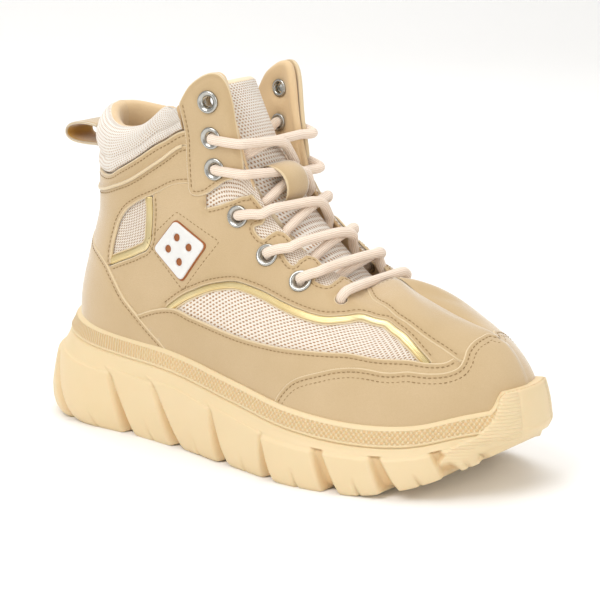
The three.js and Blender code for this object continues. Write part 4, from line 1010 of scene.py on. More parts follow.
def rounded(corners, radius):
    """A closed outline with rounded corners, from its corners, by a share of each side"""
    corners = np.asarray(corners, float)
    line = []
    for k, corner in enumerate(corners):
        before, after = corners[k - 1], corners[(k + 1) % len(corners)]
        start, end = corner + (before - corner) * radius, corner + (after - corner) * radius
        for t in np.linspace(0, 1, 9):
            line.append((1 - t) ** 2 * start + 2 * t * (1 - t) * corner + t ** 2 * end)
        following = after + (corner - after) * radius
        for t in np.linspace(0, 1, 12)[1:-1]:
            line.append(mix(end, following, t))
    return np.array(line)


white_rubber = clouded(
    "badge_white", 60.0, "dcdbd7", "e8e7e4", 0.00006, roughness=0.42, coat_weight=0.15, coat_roughness=0.3
)[0]
brown_rubber = clouded("badge_brown", 60.0, "8a4a1f", "a9642f", 0.0001, roughness=0.55)[0]


def pressed_flat(corners, line):
    """The pattern line whose real shape is the given one between straight-sided corners"""
    corners, line = np.asarray(corners, float), np.asarray(line, float)
    real = place(corners[:, 0], corners[:, 1], 0)
    fit = np.linalg.lstsq(np.column_stack([corners, np.ones(len(corners))]), real, rcond=None)[0]
    target = np.column_stack([line, np.ones(len(line))]) @ fit
    found = line.copy()
    for _ in range(6):
        miss = target - on_last(found[:, 0], found[:, 1])
        by_round, by_up = slopes_on_last(found[:, 0], found[:, 1])
        for k in range(len(found)):
            found[k] += np.linalg.lstsq(np.column_stack([by_round[k], by_up[k]]), miss[k], rcond=None)[0]
    return found


centre = np.mean(BADGE, axis=0)
shape = rounded(BADGE, 0.13)
outline = pressed_flat(BADGE, shape)
grown = pressed_flat(BADGE, centre + (shape - centre) * 1.06)
lay_piece(
    "badge_base", [("edge", grown[::-1])], 0.75, -0.1, [brown_rubber], rounding=0.4, spacing=2.0,
    rims=(0.2, 0.5, 1.0),
)
spots = pressed_flat(BADGE, [centre + (np.array(corner) - centre) * 0.4 for corner in BADGE])
eyes = [hole_at(*spot, 4.0, 18) for spot in spots]
plate = lay_piece(
    "badge_plate", [("edge", outline[::-1])], 1.6, 0.5, [white_rubber], holes=eyes, rounding=0.5,
    spacing=1.6, rims=(0.15, 0.35, 0.6, 1.0),
)
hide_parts("badge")
frame_line = pressed_flat(BADGE, rounded(FRAME, 0.06))
sew(
    "stitches_badge_frame",
    [(np.concatenate([frame_line, frame_line[:1]]), np.full(len(frame_line) + 1, -0.03))]
)

# Eyelets: two-part nickelled rings, rolled outside, with a barrel through the leather and the
# padding and a flat washer inside. The last pair of holes is punched and has no rings.
nickel, tree, shader, clouds = clouded("nickel", 300.0, "9c9b96", "cbcac4", metallic=1.0, roughness=0.22)
tree.links.new(ranged(tree, clouds["Grain"], 0, 1, 0.16, 0.34), shader.inputs["Roughness"])


def turned(name, centre_of, axis_of, profile, material, corners=28, slot=None):
    """A ring turned about an axis. profile: closed, as (radius, height) in mm"""
    away = Vector(axis_of).normalized()
    first = away.orthogonal().normalized()
    second = away.cross(first)
    frame_of = np.array((first, second, away))
    points = []
    for t in 2 * np.pi * np.arange(corners) / corners:
        for radius, height in profile:
            spot = np.array((radius * math.cos(t), radius * math.sin(t), height))
            points.append(np.asarray(centre_of) + spot @ frame_of)
    faces = round_faces(corners, len(profile), flipped=True, closed=False, joined=True)
    return add_piece(name, points, faces, [material])


for side, which in SIDES:
    for k, (around, up) in enumerate(EYELETS):
        lift = FLAP_LIFT if k < FLAP_RINGS else 0.0
        depth = float(wall_in(side * around, up)) - 0.35 - lift
        profile = [
            (2.75, -1.2), (2.95, -0.3), (3.5, 0.35), (4.1, 0.75), (4.7, 1.05), (5.2, 0.95),
            (5.6, 0.45), (5.75, -0.1), (5.0, -0.2), (3.4, -0.25), (3.0, -0.9), (2.95, depth + 0.1),
            (4.5, depth + 0.1), (4.6, depth - 0.15), (4.1, depth - 0.45), (3.1, depth - 0.4),
            (2.75, depth + 0.1),
        ]
        middle, away = place(side * around, up, lift), normals_on_last(side * around, up)
        ring = turned(f"eyelet_ring_{which}_{k + 1}", middle, away, profile, nickel, slot="steel")
        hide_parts(f"eyelet_{which}_{k + 1}")

# Tongue: a padded strip faced with knit and backed with lining, bound along its sides and top,
# and sewn in under the front of the throat.
TONGUE_THICKNESS = 7.0
# along, x, height, sideways shift, half width, crown
TONGUE = np.array((
    (0.0, 211.8, 85.7, 2.1, 14.0, 3.5), (0.12, 191.9, 90.2, 1.4, 15.4, 4.9),
    (0.25, 173.4, 103.4, 0.7, 16.5, 5.6), (0.38, 154.8, 120.0, 0.0, 17.5, 5.6),
    (0.52, 141.6, 136.7, -1.6, 18.3, 5.6), (0.66, 132.8, 154.4, -3.0, 17.4, 6.0),
    (0.82, 127.5, 171.1, -4.8, 15.8, 6.4), (1.0, 123.0, 186.0, -6.0, 14.2, 6.4),
))


def on_tongue(along, across, above):
    """Points over the tongue: along from the vamp to the top, across from -1 to 1, above its face"""
    along, across = (np.asarray(v, float) for v in np.broadcast_arrays(along, across))
    x, z, shift, half, crown = (spline(TONGUE[:, 0], TONGUE[:, k], along) for k in range(1, 6))
    step = 0.02
    ahead_of, behind = (
        np.stack([spline(TONGUE[:, 0], TONGUE[:, k], along + s) for k in (1, 2)]) for s in (step, -step)
    )
    run_x, run_z = ahead_of - behind
    length = np.hypot(run_x, run_z) + 1e-9
    raised = above - crown * across ** 2
    return np.stack([x + run_z / length * raised, shift + half * across, z - run_x / length * raised], -1)


tongue_rows, tongue_columns = 84, 48
points, flat_map = [], []
for k in range(tongue_rows + 1):
    along = k / tongue_rows
    around_it = 2 * np.pi * np.arange(tongue_columns) / tongue_columns
    across = np.sign(np.cos(around_it)) * np.abs(np.cos(around_it)) ** 0.55
    up_it = np.sign(np.sin(around_it)) * np.abs(np.sin(around_it)) ** 0.6
    close = 1 - 0.85 * ease(along, 0.97, 1.0) ** 2
    puff = 0.9 * math.sin(math.pi * min(along * 1.1, 1)) * (1 - across ** 2)
    ripple = 0.35 * np.sin(along * 34 + 2.2 * across) * (1 - across ** 2)
    ripple = ripple * ease(along, 0.1, 0.3) * (1 - ease(along, 0.6, 0.9))
    binding = 0.45 * ease(np.abs(across), 0.8, 0.86)
    above = (-0.5 + 0.5 * up_it * close) * TONGUE_THICKNESS
    above = np.where(up_it >= 0, above + puff + ripple + binding, above)
    narrowed = across * (1 - 0.12 * ease(along, 0.95, 1.0) ** 2)
    points.append(on_tongue(np.full(tongue_columns, along), narrowed, above))
    flat_map.append(np.stack([across * 19, np.full(tongue_columns, along * 150)], 1))
points, flat_map = np.concatenate(points), np.concatenate(flat_map)
marks = []
for k in range(tongue_rows):
    for i in range(tongue_columns):
        middle = 2 * math.pi * (i + 0.5) / tongue_columns
        across = abs(math.cos(middle)) ** 0.55
        is_face = math.sin(middle) > 0 and across < 0.86 and k < tongue_rows - 2
        marks.append(0 if is_face else 1 if math.sin(middle) > -0.3 or k > tongue_rows - 4 else 2)
marks += [1, 1]
tongue_knit = knit_material("tongue_knit", "fff8ee", "c9a077", Width=1.7, Height=2.2, Eye=0.34, Slant=0.1)
bound_edge = clouded("tongue_binding", 30.0, "e2cdaa", "efdfc2", 0.0003, **CLOTH)[0]
faces = round_faces(tongue_rows + 1, tongue_columns)
tongue = add_piece("tongue_pad", points, faces, [tongue_knit, bound_edge, lining_cloth], marks)
add_map(tongue, flat_map)
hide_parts("tongue")

# Collar: a foam roll round the ankle from flap to flap, knit outside over a second, lower fold,
# and lining from its crest inward.
# height share and lift of the section's points, from the seam up, over and down
COLLAR_SECTION = np.array((
    (0.0, -1.6), (0.03, -0.1), (0.1, 1.0), (0.2, 1.1), (0.29, 0.2), (0.34, -0.3), (0.42, 0.8),
    (0.55, 1.9), (0.7, 2.1), (0.86, 1.5), (0.99, 0.2), (1.07, -1.6), (1.1, -3.6), (1.1, -6.0),
    (1.05, -8.2), (0.95, -9.8), (0.8, -10.8), (0.6, -10.8), (0.42, -10.0), (0.25, -8.4),
    (0.1, -6.6), (0.0, -5.2),
))
seam = np.array(COLLAR_SEAM)[::-1]
collar_steps = 190
size_of = len(COLLAR_SECTION) * 2
KNIT_POINTS = 24  # of the section's, from the seam to the crest
rows, map_rows = [], []
for k in range(collar_steps + 1):
    t = 2 * k / collar_steps - 1
    side = -1 if t < 0 else 1
    ring = np.concatenate([COLLAR_SECTION, COLLAR_SECTION[:1]])
    share, lift = (spline(np.arange(len(ring)), ring[:, c], np.arange(size_of) / 2) for c in (0, 1))
    thin = ease(abs(t), 0.78, 1.0)
    lift = np.where(
        lift < -1.6, mix(lift, np.maximum(lift, -6.0), thin),
        mix(lift, np.minimum(lift, 0.2), thin * 0.6)
    )
    lift = lift + 0.5 * np.sin(9 * t + 1.0) * np.exp(-((share - 0.62) / 0.2) ** 2) * (lift > 0)
    notch = 1.2 * np.exp(-((abs(t) - 0.3) / 0.05) ** 2) * np.exp(-((share - 0.3) / 0.12) ** 2)
    back = mix(0.667, 0.689, share)
    around = 1 + (back - 1) * abs(t)
    low = spline(seam[:, 0], seam[:, 1], around) + 0.004
    high = 1 - 0.075 * ease(abs(t), 0.8, 1.0)
    rows.append(place(side * around, mix(low, high, share), lift - notch * (lift > -1)))
    map_rows.append(np.stack([side * around * ACROSS * 1.15, share * 24 + (lift < -2) * 10], 1))
points = np.concatenate(rows)
faces = round_faces(collar_steps + 1, size_of, flipped=True)
marks = [0 if i < KNIT_POINTS else 1 for _ in range(collar_steps) for i in range(size_of)] + [1, 1]
collar_knit = knit_material("collar_knit", "fff8ee", "cfa981", Width=1.9, Height=1.6, Eye=0.31, Slant=0.0)
collar = add_piece("collar_roll", points, faces, [collar_knit, lining_cloth], marks)
add_map(collar, np.concatenate(map_rows))
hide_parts("collar")

# Lace: one round braided cord of 5 mm, drawn taut. It lies straight across at the front, crosses
# under the throat's edges from there up, and its ends go in through the second pair of rings.
LACE = 5.0
# where it passes under the throat's edge beside each ring and beside the punched hole
LACE_EDGE = (
    (0.57, 0.99), (0.535, 0.985), (0.506, 0.965), (0.478, 0.905), (0.436, 0.885), (0.38, 0.93),
    (0.332, 0.97)
)
HOLES = (*EYELETS, PLAIN_HOLE)
# where it passes over the leather's own edge on its way from rings two to six
LACE_PASS = ((0.56, 0.99), (0.546, 0.93), (0.526, 0.868), (0.481, 0.817), (0.425, 0.779), (0.372, 0.775))
# where the two strands across the inner flap turn in over its edge, and where the first strands
# of the two sides go under the edge across from them
TURN_IN = {1: 0.535, 2: 0.499}
GO_UNDER = {-1: (0.521, 0.965), 1: (0.504, 0.965)}
throat_up = np.array(sorted([*((a, u) for a, u in THROAT if a > 0.3), (0.57, 0.995), (0.66, 1.0)]))


def stay_points(side):
    """Points all over the leather beside the throat on one side"""
    around, up = np.meshgrid(np.linspace(0.3, 0.66, 120), np.linspace(0.5, 1.0, 60), indexing="ij")
    around, up = around.ravel(), up.ravel()
    keep = up < np.interp(around, throat_up[:, 0], throat_up[:, 1]) - 0.004
    around, up = around[keep], up[keep]
    return place(side * around, up, np.where((around > 0.57) | (up > 0.93) & (around > 0.53), FLAP_LIFT, 0.0))


def tongue_points():
    """Points all over the tongue's face"""
    along, across = np.meshgrid(np.linspace(0, 0.97, 110), np.linspace(-1, 1, 33), indexing="ij")
    along, across = along.ravel(), across.ravel()
    return on_tongue(along, across, 0.9 * np.sin(np.pi * np.minimum(along * 1.1, 1)) * (1 - across ** 2))


stays = {side: stay_points(side) for side in (1, -1)}
tongue_face = tongue_points()
OUTWARD = np.array((0.6, 0.0, 0.8))  # away from the tongue


def needed_height(path, points, radius):
    """How far each point of a path has to move outward to clear points by a radius"""
    apart = points[None] - path[:, None]
    ahead = apart @ OUTWARD
    beside_it = radius ** 2 - (np.sum(apart ** 2, axis=2) - ahead ** 2)
    return np.max(np.where(beside_it > 0, ahead + np.sqrt(np.maximum(beside_it, 0)), -99), axis=1)


def drawn_taut(start, end, beneath, over=None, count_of=60):
    """A cord pulled straight between two points, over what lies beneath it and another cord"""
    path = mix(np.asarray(start)[None], np.asarray(end)[None], np.linspace(0, 1, count_of)[:, None])
    height = needed_height(path, np.concatenate(beneath), LACE / 2 + 0.15)
    if over is not None:
        height = np.maximum(height, needed_height(path, over, LACE * 0.97))
    height[:4] = np.minimum(height[:4], (0, 0.3, 0.6, 0.9))
    height[0], height[-1] = 0, max(height[-1], 0)
    kept = [0]
    for k in range(1, count_of):
        while len(kept) > 1:
            a, b = kept[-2], kept[-1]
            if (height[b] - height[a]) * (k - a) <= (height[k] - height[a]) * (b - a):
                kept.pop()
            else:
                break
        kept.append(k)
    taut = np.interp(np.arange(count_of), kept, height[kept])
    for _ in range(6):
        taut[1:-1] = (taut[:-2] + 2 * taut[1:-1] + taut[2:]) / 4
    return path + taut[:, None] * OUTWARD


def over_hole(side, k, lift):
    """A point on the axis of a lace hole"""
    return place(side * HOLES[k][0], HOLES[k][1], lift + (FLAP_LIFT if k < FLAP_RINGS else 0.0))


def leaving(side, k, lift):
    """Where the cord leaves a hole, pressed to its side towards the throat"""
    toward = place(side * LACE_EDGE[k][0], LACE_EDGE[k][1], 0) - place(side * HOLES[k][0], HOLES[k][1], 0)
    return over_hole(side, k, lift) + toward / np.linalg.norm(toward) * 0.9


def round_the_edge(side, k):
    """Where a strand lies on the throat's edge and where it has turned in over it"""
    around = TURN_IN[k]
    low, edge, high = (
        place(side * at, np.interp(at, throat_up[:, 0], throat_up[:, 1]), 0)
        for at in (around - 0.012, around, around + 0.012)
    )
    away = normals_on_last(side * around, np.interp(around, throat_up[:, 0], throat_up[:, 1]))
    inward = np.cross(high - low, away)
    inward /= np.linalg.norm(inward) * np.sign(inward[0])
    on_it = edge + away * (LACE / 2 + 1.2) - inward * 0.8
    return on_it, edge + inward * (LACE / 2 + 0.8) - away * 2.5


strands = {}
for side in (-1, 1):
    for k in range(1, 6):
        far_around, far_up = GO_UNDER[side] if k == 1 else LACE_EDGE[k + 1]
        far = place(-side * far_around, far_up, -6.5 if k > 1 else -8.5)
        pass_around, pass_up = LACE_PASS[k]
        on_flap = k < FLAP_RINGS
        raised = LACE / 2 + (0.8 if on_flap else 0.1)
        at_edge = start = place(side * pass_around, pass_up, raised)
        if side < 0 and on_flap:
            at_edge, start = round_the_edge(side, k)
        if on_flap:
            halfway, beneath = mix(leaving(side, k, raised), at_edge, 0.5), [tongue_face]
        else:
            (around, up), beneath = HOLES[k], [tongue_face, stays[side]]
            halfway = place(side * mix(around, pass_around, 0.55), mix(up, pass_up, 0.55), raised)
        over = strands[(-1, k)][8:] if side > 0 else None
        taut = drawn_taut(start, far, beneath, over)[::3]
        strands[(side, k)] = np.concatenate([[leaving(side, k, 1.2), halfway, at_edge], taut[1:]])


def through(side, k):
    """From under an edge up through a hole"""
    return [
        over_hole(side, k, -8.5 if k < FLAP_RINGS else -7.5), over_hole(side, k, -3.0),
        leaving(side, k, -0.3)
    ]


side = 1
route = [over_hole(side, 1, -9.0), *through(side, 1)[1:]]
for k in range(1, 6):
    route += list(strands[(side, k)])
    route += through(-side, k + 1)
    side = -side
other = -side
bar_start, bar_end = leaving(side, 6, 1.4), leaving(other, 6, 1.4)
route += list(drawn_taut(bar_start, bar_end, [tongue_face, stays[1], stays[-1]])[::3])
route += through(other, 6)[::-1]
for k in range(5, 0, -1):
    route += list(strands[(side, k)][::-1])
    route += through(side, k)[::-1]
    side = -side
last = over_hole(-side, 1, -9.0)
route += [last + (0.5, -9.0, -6.0), last + (3.0, -17.0, -17.0)]


def smooth_path(points, step):
    """A smooth path through points in space, at even steps in mm"""
    points = np.asarray(points, float)
    apart = np.concatenate([[True], np.linalg.norm(np.diff(points, axis=0), axis=1) > 0.4])
    points = points[apart]
    along = np.concatenate([[0], np.cumsum(np.linalg.norm(np.diff(points, axis=0), axis=1) ** 0.75)])
    fine = np.linspace(0, along[-1], 3000)
    path = np.stack([spline(along, points[:, k], fine) for k in range(3)], 1)
    length = np.concatenate([[0], np.cumsum(np.linalg.norm(np.diff(path, axis=0), axis=1))])
    at = np.linspace(0, length[-1], int(length[-1] / step) + 1)
    return np.stack([np.interp(at, length, path[:, k]) for k in range(3)], 1)


def tube(name, path, radius, materials, corners=14):
    """A round cord along a path, with a map of round it and along it in mm"""
    run = np.gradient(path, axis=0)
    run /= np.linalg.norm(run, axis=1, keepdims=True)
    side_way = np.empty_like(path)
    side_way[0] = np.cross(run[0], (0, 0, 1.0))
    side_way[0] /= np.linalg.norm(side_way[0])
    for k in range(1, len(path)):
        turned_way = side_way[k - 1] - run[k] * (side_way[k - 1] @ run[k])
        side_way[k] = turned_way / np.linalg.norm(turned_way)
    other = np.cross(run, side_way)
    angles = 2 * np.pi * np.arange(corners) / corners
    points = (
        path[:, None] + radius * np.cos(angles)[None, :, None] * side_way[:, None]
        + radius * np.sin(angles)[None, :, None] * other[:, None]
    ).reshape(-1, 3)
    made = add_piece(name, points, round_faces(len(path), corners), materials)
    along = np.concatenate([[0], np.cumsum(np.linalg.norm(np.diff(path, axis=0), axis=1))])
    wrap = np.minimum(np.arange(corners), corners - np.arange(corners)) * 2 * math.pi * radius / corners
    add_map(made, np.stack([np.tile(wrap, len(path)), np.repeat(along, corners)], 1))
    return made


braid, tree, shader = new_material("braided_cord", roughness=0.82, sheen_weight=0.3, sheen_roughness=0.4)
round_it, along_it = map_ways(tree)
rib = count(tree, "ABSOLUTE", count(tree, "SINE", count(tree, "MULTIPLY", round_it, 3.2)))
lean = count(tree, "ADD", count(tree, "MULTIPLY", along_it, 3.6), count(tree, "MULTIPLY", round_it, 1.8))
twist = count(tree, "ABSOLUTE", count(tree, "SINE", lean))
weave = count(tree, "ADD", count(tree, "MULTIPLY", rib, 0.75), count(tree, "MULTIPLY", twist, 0.25))
clouds = use_effect(tree, cloud, Scale=60.0)
tone = blend_colours(tree, clouds["Cloud"], colour("f6e3d0"), colour("fdf0e2"))
# painted shade: the braid's grooves are coloured darker and its raised strands paler
tree.links.new(blend_colours(tree, weave, colour("e6cbb0"), tone), shader.inputs["Base Color"])
emboss(tree, shader, weave, 0.0003)
lace = tube("lace", smooth_path(route, 1.2), LACE / 2, [braid])
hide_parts(*[f"lace_cross_{k}" for k in range(1, 6)], "lace_bar")

# Keeper: a strap of the same leather, sewn to the tongue above and below the third crossing,
# which holds the lace and the tongue in the middle.
KEEPER_SPAN = (0.425, 0.57)
KEEPER_WIDTH, KEEPER_ARCH, KEEPER_SHIFT = 15.5, 11.5, -0.22
keeper_rows, keeper_columns = 40, 12
points, values = [], []
for face_side in (1, -1):
    for k in range(keeper_rows + 1):
        t = k / keeper_rows
        along = mix(*KEEPER_SPAN, t)
        rise = 0.6 + KEEPER_ARCH * max(math.sin(math.pi * t), 0) ** 0.42 + 0.75 * face_side
        half = KEEPER_WIDTH / 2 / float(spline(TONGUE[:, 0], TONGUE[:, 4], along))
        across = np.linspace(-1, 1, keeper_columns + 1)
        soft = 0.55 * np.abs(across) ** 6 * face_side + 0.6 * across ** 2 * math.sin(math.pi * t)
        points.append(on_tongue(
            np.full(keeper_columns + 1, along), KEEPER_SHIFT + across * half, rise - soft
        ))
        edge_gap = KEEPER_WIDTH / 2 * (1 - np.abs(across))
        values.append(edge_gap if face_side > 0 else edge_gap * 0)
points, values = np.concatenate(points), np.concatenate(values)
row_size = keeper_columns + 1
faces, block = [], (keeper_rows + 1) * row_size
for k in range(keeper_rows):
    for i in range(keeper_columns):
        a = k * row_size + i
        face = np.array((a, a + 1, a + 1 + row_size, a + row_size))
        faces += [face, block + face[[0, 3, 2, 1]]]
    for i, turn_it in ((0, False), (keeper_columns, True)):
        a = k * row_size + i
        wall = (a, a + row_size, block + a + row_size, block + a)
        faces.append(wall[::-1] if turn_it else wall)
for k, turn_it in ((0, True), (keeper_rows, False)):
    for i in range(keeper_columns):
        a = k * row_size + i
        wall = (a, a + 1, block + a + 1, block + a)
        faces.append(wall[::-1] if not turn_it else wall)
keeper = add_piece("lace_keeper_strap", points, faces, [nubuck])
add_values(keeper, "from_edge", values)
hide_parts("lace_keeper")

# Pull loop: a folded leather tape behind the heel, its ends sewn in under the collar roll, a
# deeper tan inside.
LOOP_BAND, LOOP_REACH, TAPE = 21.0, 22.0, 1.6
loop_inside = nubuck_material("loop_lining", "bd8a24", "aa7a1e")
root_x = float(place(1, 0.9, 0)[0]) - 1.4
middle_z = float(place(1, 0.86, 0)[2])
middle_y = float(place(1, 0.9, 0)[1])
drop = LOOP_REACH * 0.25
tip_x = root_x - LOOP_REACH
bends = [
    ((root_x, drop), (root_x - 0.3 * LOOP_REACH, 1.35 * drop), (tip_x, 1.35 * drop), (tip_x, 0)),
    ((tip_x, 0), (tip_x, -1.2 * drop), (root_x - 0.35 * LOOP_REACH, -drop), (root_x, -drop)),
]
line = []
for bend_points in bends:
    a, b, c, d = (np.array(p) for p in bend_points)
    for t in np.linspace(0, 1, 25)[(1 if line else 0):]:
        bend = (1 - t) ** 3 * a + 3 * t * (1 - t) ** 2 * b
        line.append(bend + 3 * t * t * (1 - t) * c + t ** 3 * d)
line = np.array(line)
run = np.gradient(line, axis=0)
run /= np.linalg.norm(run, axis=1, keepdims=True)
inside_line = line + np.stack([-run[:, 1], run[:, 0]], 1) * TAPE
across = np.concatenate([[-1], np.linspace(-0.93, 0.93, 9), [1]])
points, values = [], []
for layer, track in enumerate((line, inside_line)):
    for (x, z), (other_x, other_z) in zip(track, inside_line if layer == 0 else line):
        pull = 0.28 * (np.abs(across) > 0.97)
        sway = 0.8 * math.sin((x - root_x) / LOOP_REACH * 2.0)
        y = middle_y + sway + across * LOOP_BAND / 2
        points.append(np.stack([x + (other_x - x) * pull, y, middle_z + z + (other_z - z) * pull], 1))
        values.append(LOOP_BAND / 2 * (1 - np.abs(across)))
points, values = np.concatenate(points), np.concatenate(values)
row_size, block = len(across), len(line) * len(across)
faces, marks = [], []
for k in range(len(line) - 1):
    for i in range(row_size - 1):
        a = k * row_size + i
        face = np.array((a, a + row_size, a + row_size + 1, a + 1))
        faces += [face, block + face[[0, 3, 2, 1]]]
        marks += [0, 1]
    for i, turn_it in ((0, True), (row_size - 1, False)):
        a = k * row_size + i
        wall = (a, a + row_size, block + a + row_size, block + a)
        faces.append(wall[::-1] if not turn_it else wall)
        marks.append(0)
for k in (0, len(line) - 1):
    for i in range(row_size - 1):
        a = k * row_size + i
        faces.append((a, a + 1, block + a + 1, block + a) if k == 0 else (a + 1, a, block + a, block + a + 1))
        marks.append(0)
loop = add_piece("pull_loop_tape", points, faces, [nubuck, loop_inside], marks)
add_values(loop, "from_edge", values)
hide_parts("pull_loop")

# Sole: one cream moulded cup of foamed rubber, cemented to the upper and nearly flat below the
# heel and the ball: a textured band round its top, slanting lugs below and a ribbed toe bumper.
FOXING_HEIGHT = 10.0
SOLE_LIP = 2.6  # how far the sole stands out at its upper edge
TOE_SPRING, ARCH_RISE = 28.0, 0.4
# share of the sole's length, height of the lug tops, flare of the side
SOLE_SIDE = np.array((
    (0.0, 36.0, 18.5), (0.087, 33.0, 12.8), (0.209, 31.2, 6.9), (0.348, 30.6, 6.1), (0.498, 25.8, 7.1),
    (0.645, 21.6, 6.6), (0.794, 21.0, 5.4), (0.871, 24.0, 5.3), (0.934, 27.6, 5.3), (1.0, 30.6, 5.3),
))
# level (0 floor, 1 lug tops, 2 foot of the band, 3 upper edge) and share of the flare there
SOLE_LEVELS = np.array((
    (0.0, 0.5), (0.04, 0.69), (0.1, 0.84), (0.2, 0.95), (0.4, 1.0), (0.7, 0.9), (1.0, 0.74), (1.4, 0.5),
    (1.85, 0.31), (2.0, 0.27), (2.12, 0.26), (2.5, 0.14), (3.0, 0.0),
))
# the same levels and how far the toe bumper's side stands out
TOE_LEVELS = np.array((
    (0.0, 1.0), (0.3, 2.6), (0.6, 3.6), (1.0, 4.6), (1.5, 5.3), (2.0, 5.1), (2.5, 3.8), (3.0, 1.5),
))
# where round the sole each groove ends at the lug tops and at the floor
GROOVE_LINES = np.array((
    (0.889, 0.828), (0.736, 0.696), (0.648, 0.6), (0.536, 0.512), (0.448, 0.434), (0.368, 0.347),
    (0.289, 0.267), (0.205, 0.178), (0.15, 0.118),
))
FIRST_BLOCK = 5  # from here forward the lugs are raised blocks with wide gaps


def sole_floor(x):
    """Height of the sole's underside"""
    share = np.asarray(x, float) / SOLE_LENGTH
    spring = np.clip((share - 0.739) / 0.261, 0, 1) ** 2 * TOE_SPRING
    return spring + ARCH_RISE * np.sin(np.pi * np.clip((share - 0.3) / 0.28, 0, 1)) ** 2


def outward_of(around):
    """Level outward direction at the foot of the upper"""
    step = 0.004
    before, after = on_last(around - step, 0), on_last(around + step, 0)
    away = np.stack([before[..., 1] - after[..., 1], after[..., 0] - before[..., 0]], -1)
    return away / np.linalg.norm(away, axis=-1, keepdims=True)


def sole_reach(around, level):
    """How far the sole's side stands out from the foot of the upper"""
    foot_x = on_last(around, 0)[..., 0]
    at = (foot_x - HEEL_X * np.clip(1 - foot_x / SOLE_LENGTH * 4, 0, 1)) / SOLE_LENGTH
    flare = spline(SOLE_SIDE[:, 0], SOLE_SIDE[:, 2], at)
    share = spline(SOLE_LEVELS[:, 0], SOLE_LEVELS[:, 1], level)
    side_reach = mix(SOLE_LIP, flare, share) - 1.3 * ease(level, 2.78, 3.0)
    toe_reach = spline(TOE_LEVELS[:, 0], TOE_LEVELS[:, 1], level)
    return mix(side_reach, toe_reach, 1 - ease(np.abs(around), 0.1, 0.2))


def sole_run(side):
    """Shares round a side from the toe, and the length of the sole's side up to each"""
    shares = np.linspace(0, 1, 1200)
    around = side * shares
    track = on_last(around, 0)[:, :2] + outward_of(around) * sole_reach(around, 0.5)[:, None]
    return shares, np.concatenate([[0], np.cumsum(np.linalg.norm(np.diff(track, axis=0), axis=1))])


def groove_cut(along_side, level, runs):
    """Depth of the grooves, pride of the lugs and share across a lug, at points of the side"""
    shares, lengths = runs
    lines = np.array([
        mix(np.interp(foot, shares, lengths), np.interp(top, shares, lengths), level)
        for top, foot in GROOVE_LINES
    ])
    flat_level = np.clip(level, 0, 1)
    depth = np.zeros_like(along_side)
    for k, line in enumerate(lines):
        is_block = k >= FIRST_BLOCK
        half = mix(4.8 if is_block else 4.4, 3.3 if is_block else 1.1, flat_level)
        deep = mix(6.0 if is_block else 7.5, 3.0 if is_block else 1.1, flat_level)
        if k == len(lines) - 1:
            half, deep = half * 0.7, deep * 0.45
        share = np.clip(np.abs(along_side - line) / half, 0, 1)
        floor_part = 0.5 if is_block else 0.08
        slope = 1 - np.clip((share - floor_part) / (1 - floor_part), 0, 1)
        depth = np.maximum(depth, deep * slope ** 1.1)
    depth = depth * (1 - ease(level, 0.93, 1.05))
    total = lengths[-1]
    walls = np.concatenate([[2 * total - lines[0]], lines, [0 * lines[0] + 12.0]])
    cell = np.sum(along_side[None] < lines, axis=0)
    heelward = np.take_along_axis(walls, cell[None], 0)[0]
    toeward = np.take_along_axis(walls, np.minimum(cell + 1, len(walls) - 1)[None], 0)[0]
    across = np.clip((heelward - along_side) / np.maximum(heelward - toeward, 1e-3), 0, 1)
    width = np.maximum(heelward - toeward, 1.0)
    is_block = cell >= FIRST_BLOCK
    top = np.where(is_block, 0.97, 1.0 + 0.3 * (1 - across))
    pride = np.where(is_block, 2.0, mix(0.4, 1.25, across)) * (1 - ease(level, top - 0.06, top + 0.015))
    pride = np.where(cell > len(GROOVE_LINES) - 1, 0, pride)
    sipe_top = np.where(is_block, 0.5, 0.42)
    sipe = (1 - np.clip(np.abs((across - 0.5) * width) / 1.15, 0, 1)) * np.clip(1 - level / sipe_top, 0, 1)
    sipe = np.where(cell > len(GROOVE_LINES) - 1, 0, sipe * np.where(is_block, 2.2, 1.3))
    ribbed = np.where(cell == len(GROOVE_LINES) - 1, 1.0, 0.0)
    return depth, pride, sipe, ribbed


half_columns = 480
shares, lengths = sole_run(1)
even = np.interp(np.linspace(0, lengths[-1], half_columns + 1), lengths, shares)
around = np.concatenate([even, -even[1:-1][::-1]])
side_of = np.where(around >= 0, 1, -1)
runs = {side: sole_run(side) for side in (1, -1)}
along_side = np.where(side_of > 0, np.interp(np.abs(around), *runs[1]), np.interp(np.abs(around), *runs[-1]))
far_end = np.where(side_of > 0, runs[1][1][-1], runs[-1][1][-1])
foot, away = on_last(around, 0), outward_of(around)


def carved(level):
    """Grooves, pride, sipes and ribs of a whole ring of the side"""
    found = [groove_cut(along_side, level, runs[side]) for side in (1, -1)]
    return [np.where(side_of > 0, a, b) for a, b in zip(*found)]


def nearest_groove():
    """How far each column is from the nearest groove at the floor, mm"""
    feet = {side: np.interp(GROOVE_LINES[:-1, 1], *runs[side]) for side in (1, -1)}
    apart = {side: np.min(np.abs(along_side[:, None] - feet[side][None]), axis=1) for side in (1, -1)}
    return np.where(side_of > 0, apart[1], apart[-1])


rows, levels_of, hollow_of, ribs_of = [], [], [], []


def add_row(points, level, hollow=0.0, ribs=0.0):
    """One ring of the sole with its level, hollowness and ribs"""
    rows.append(points)
    levels_of.append(np.broadcast_to(level, around.shape).astype(float))
    hollow_of.append(np.broadcast_to(hollow, around.shape).astype(float))
    ribs_of.append(np.broadcast_to(ribs, around.shape).astype(float))


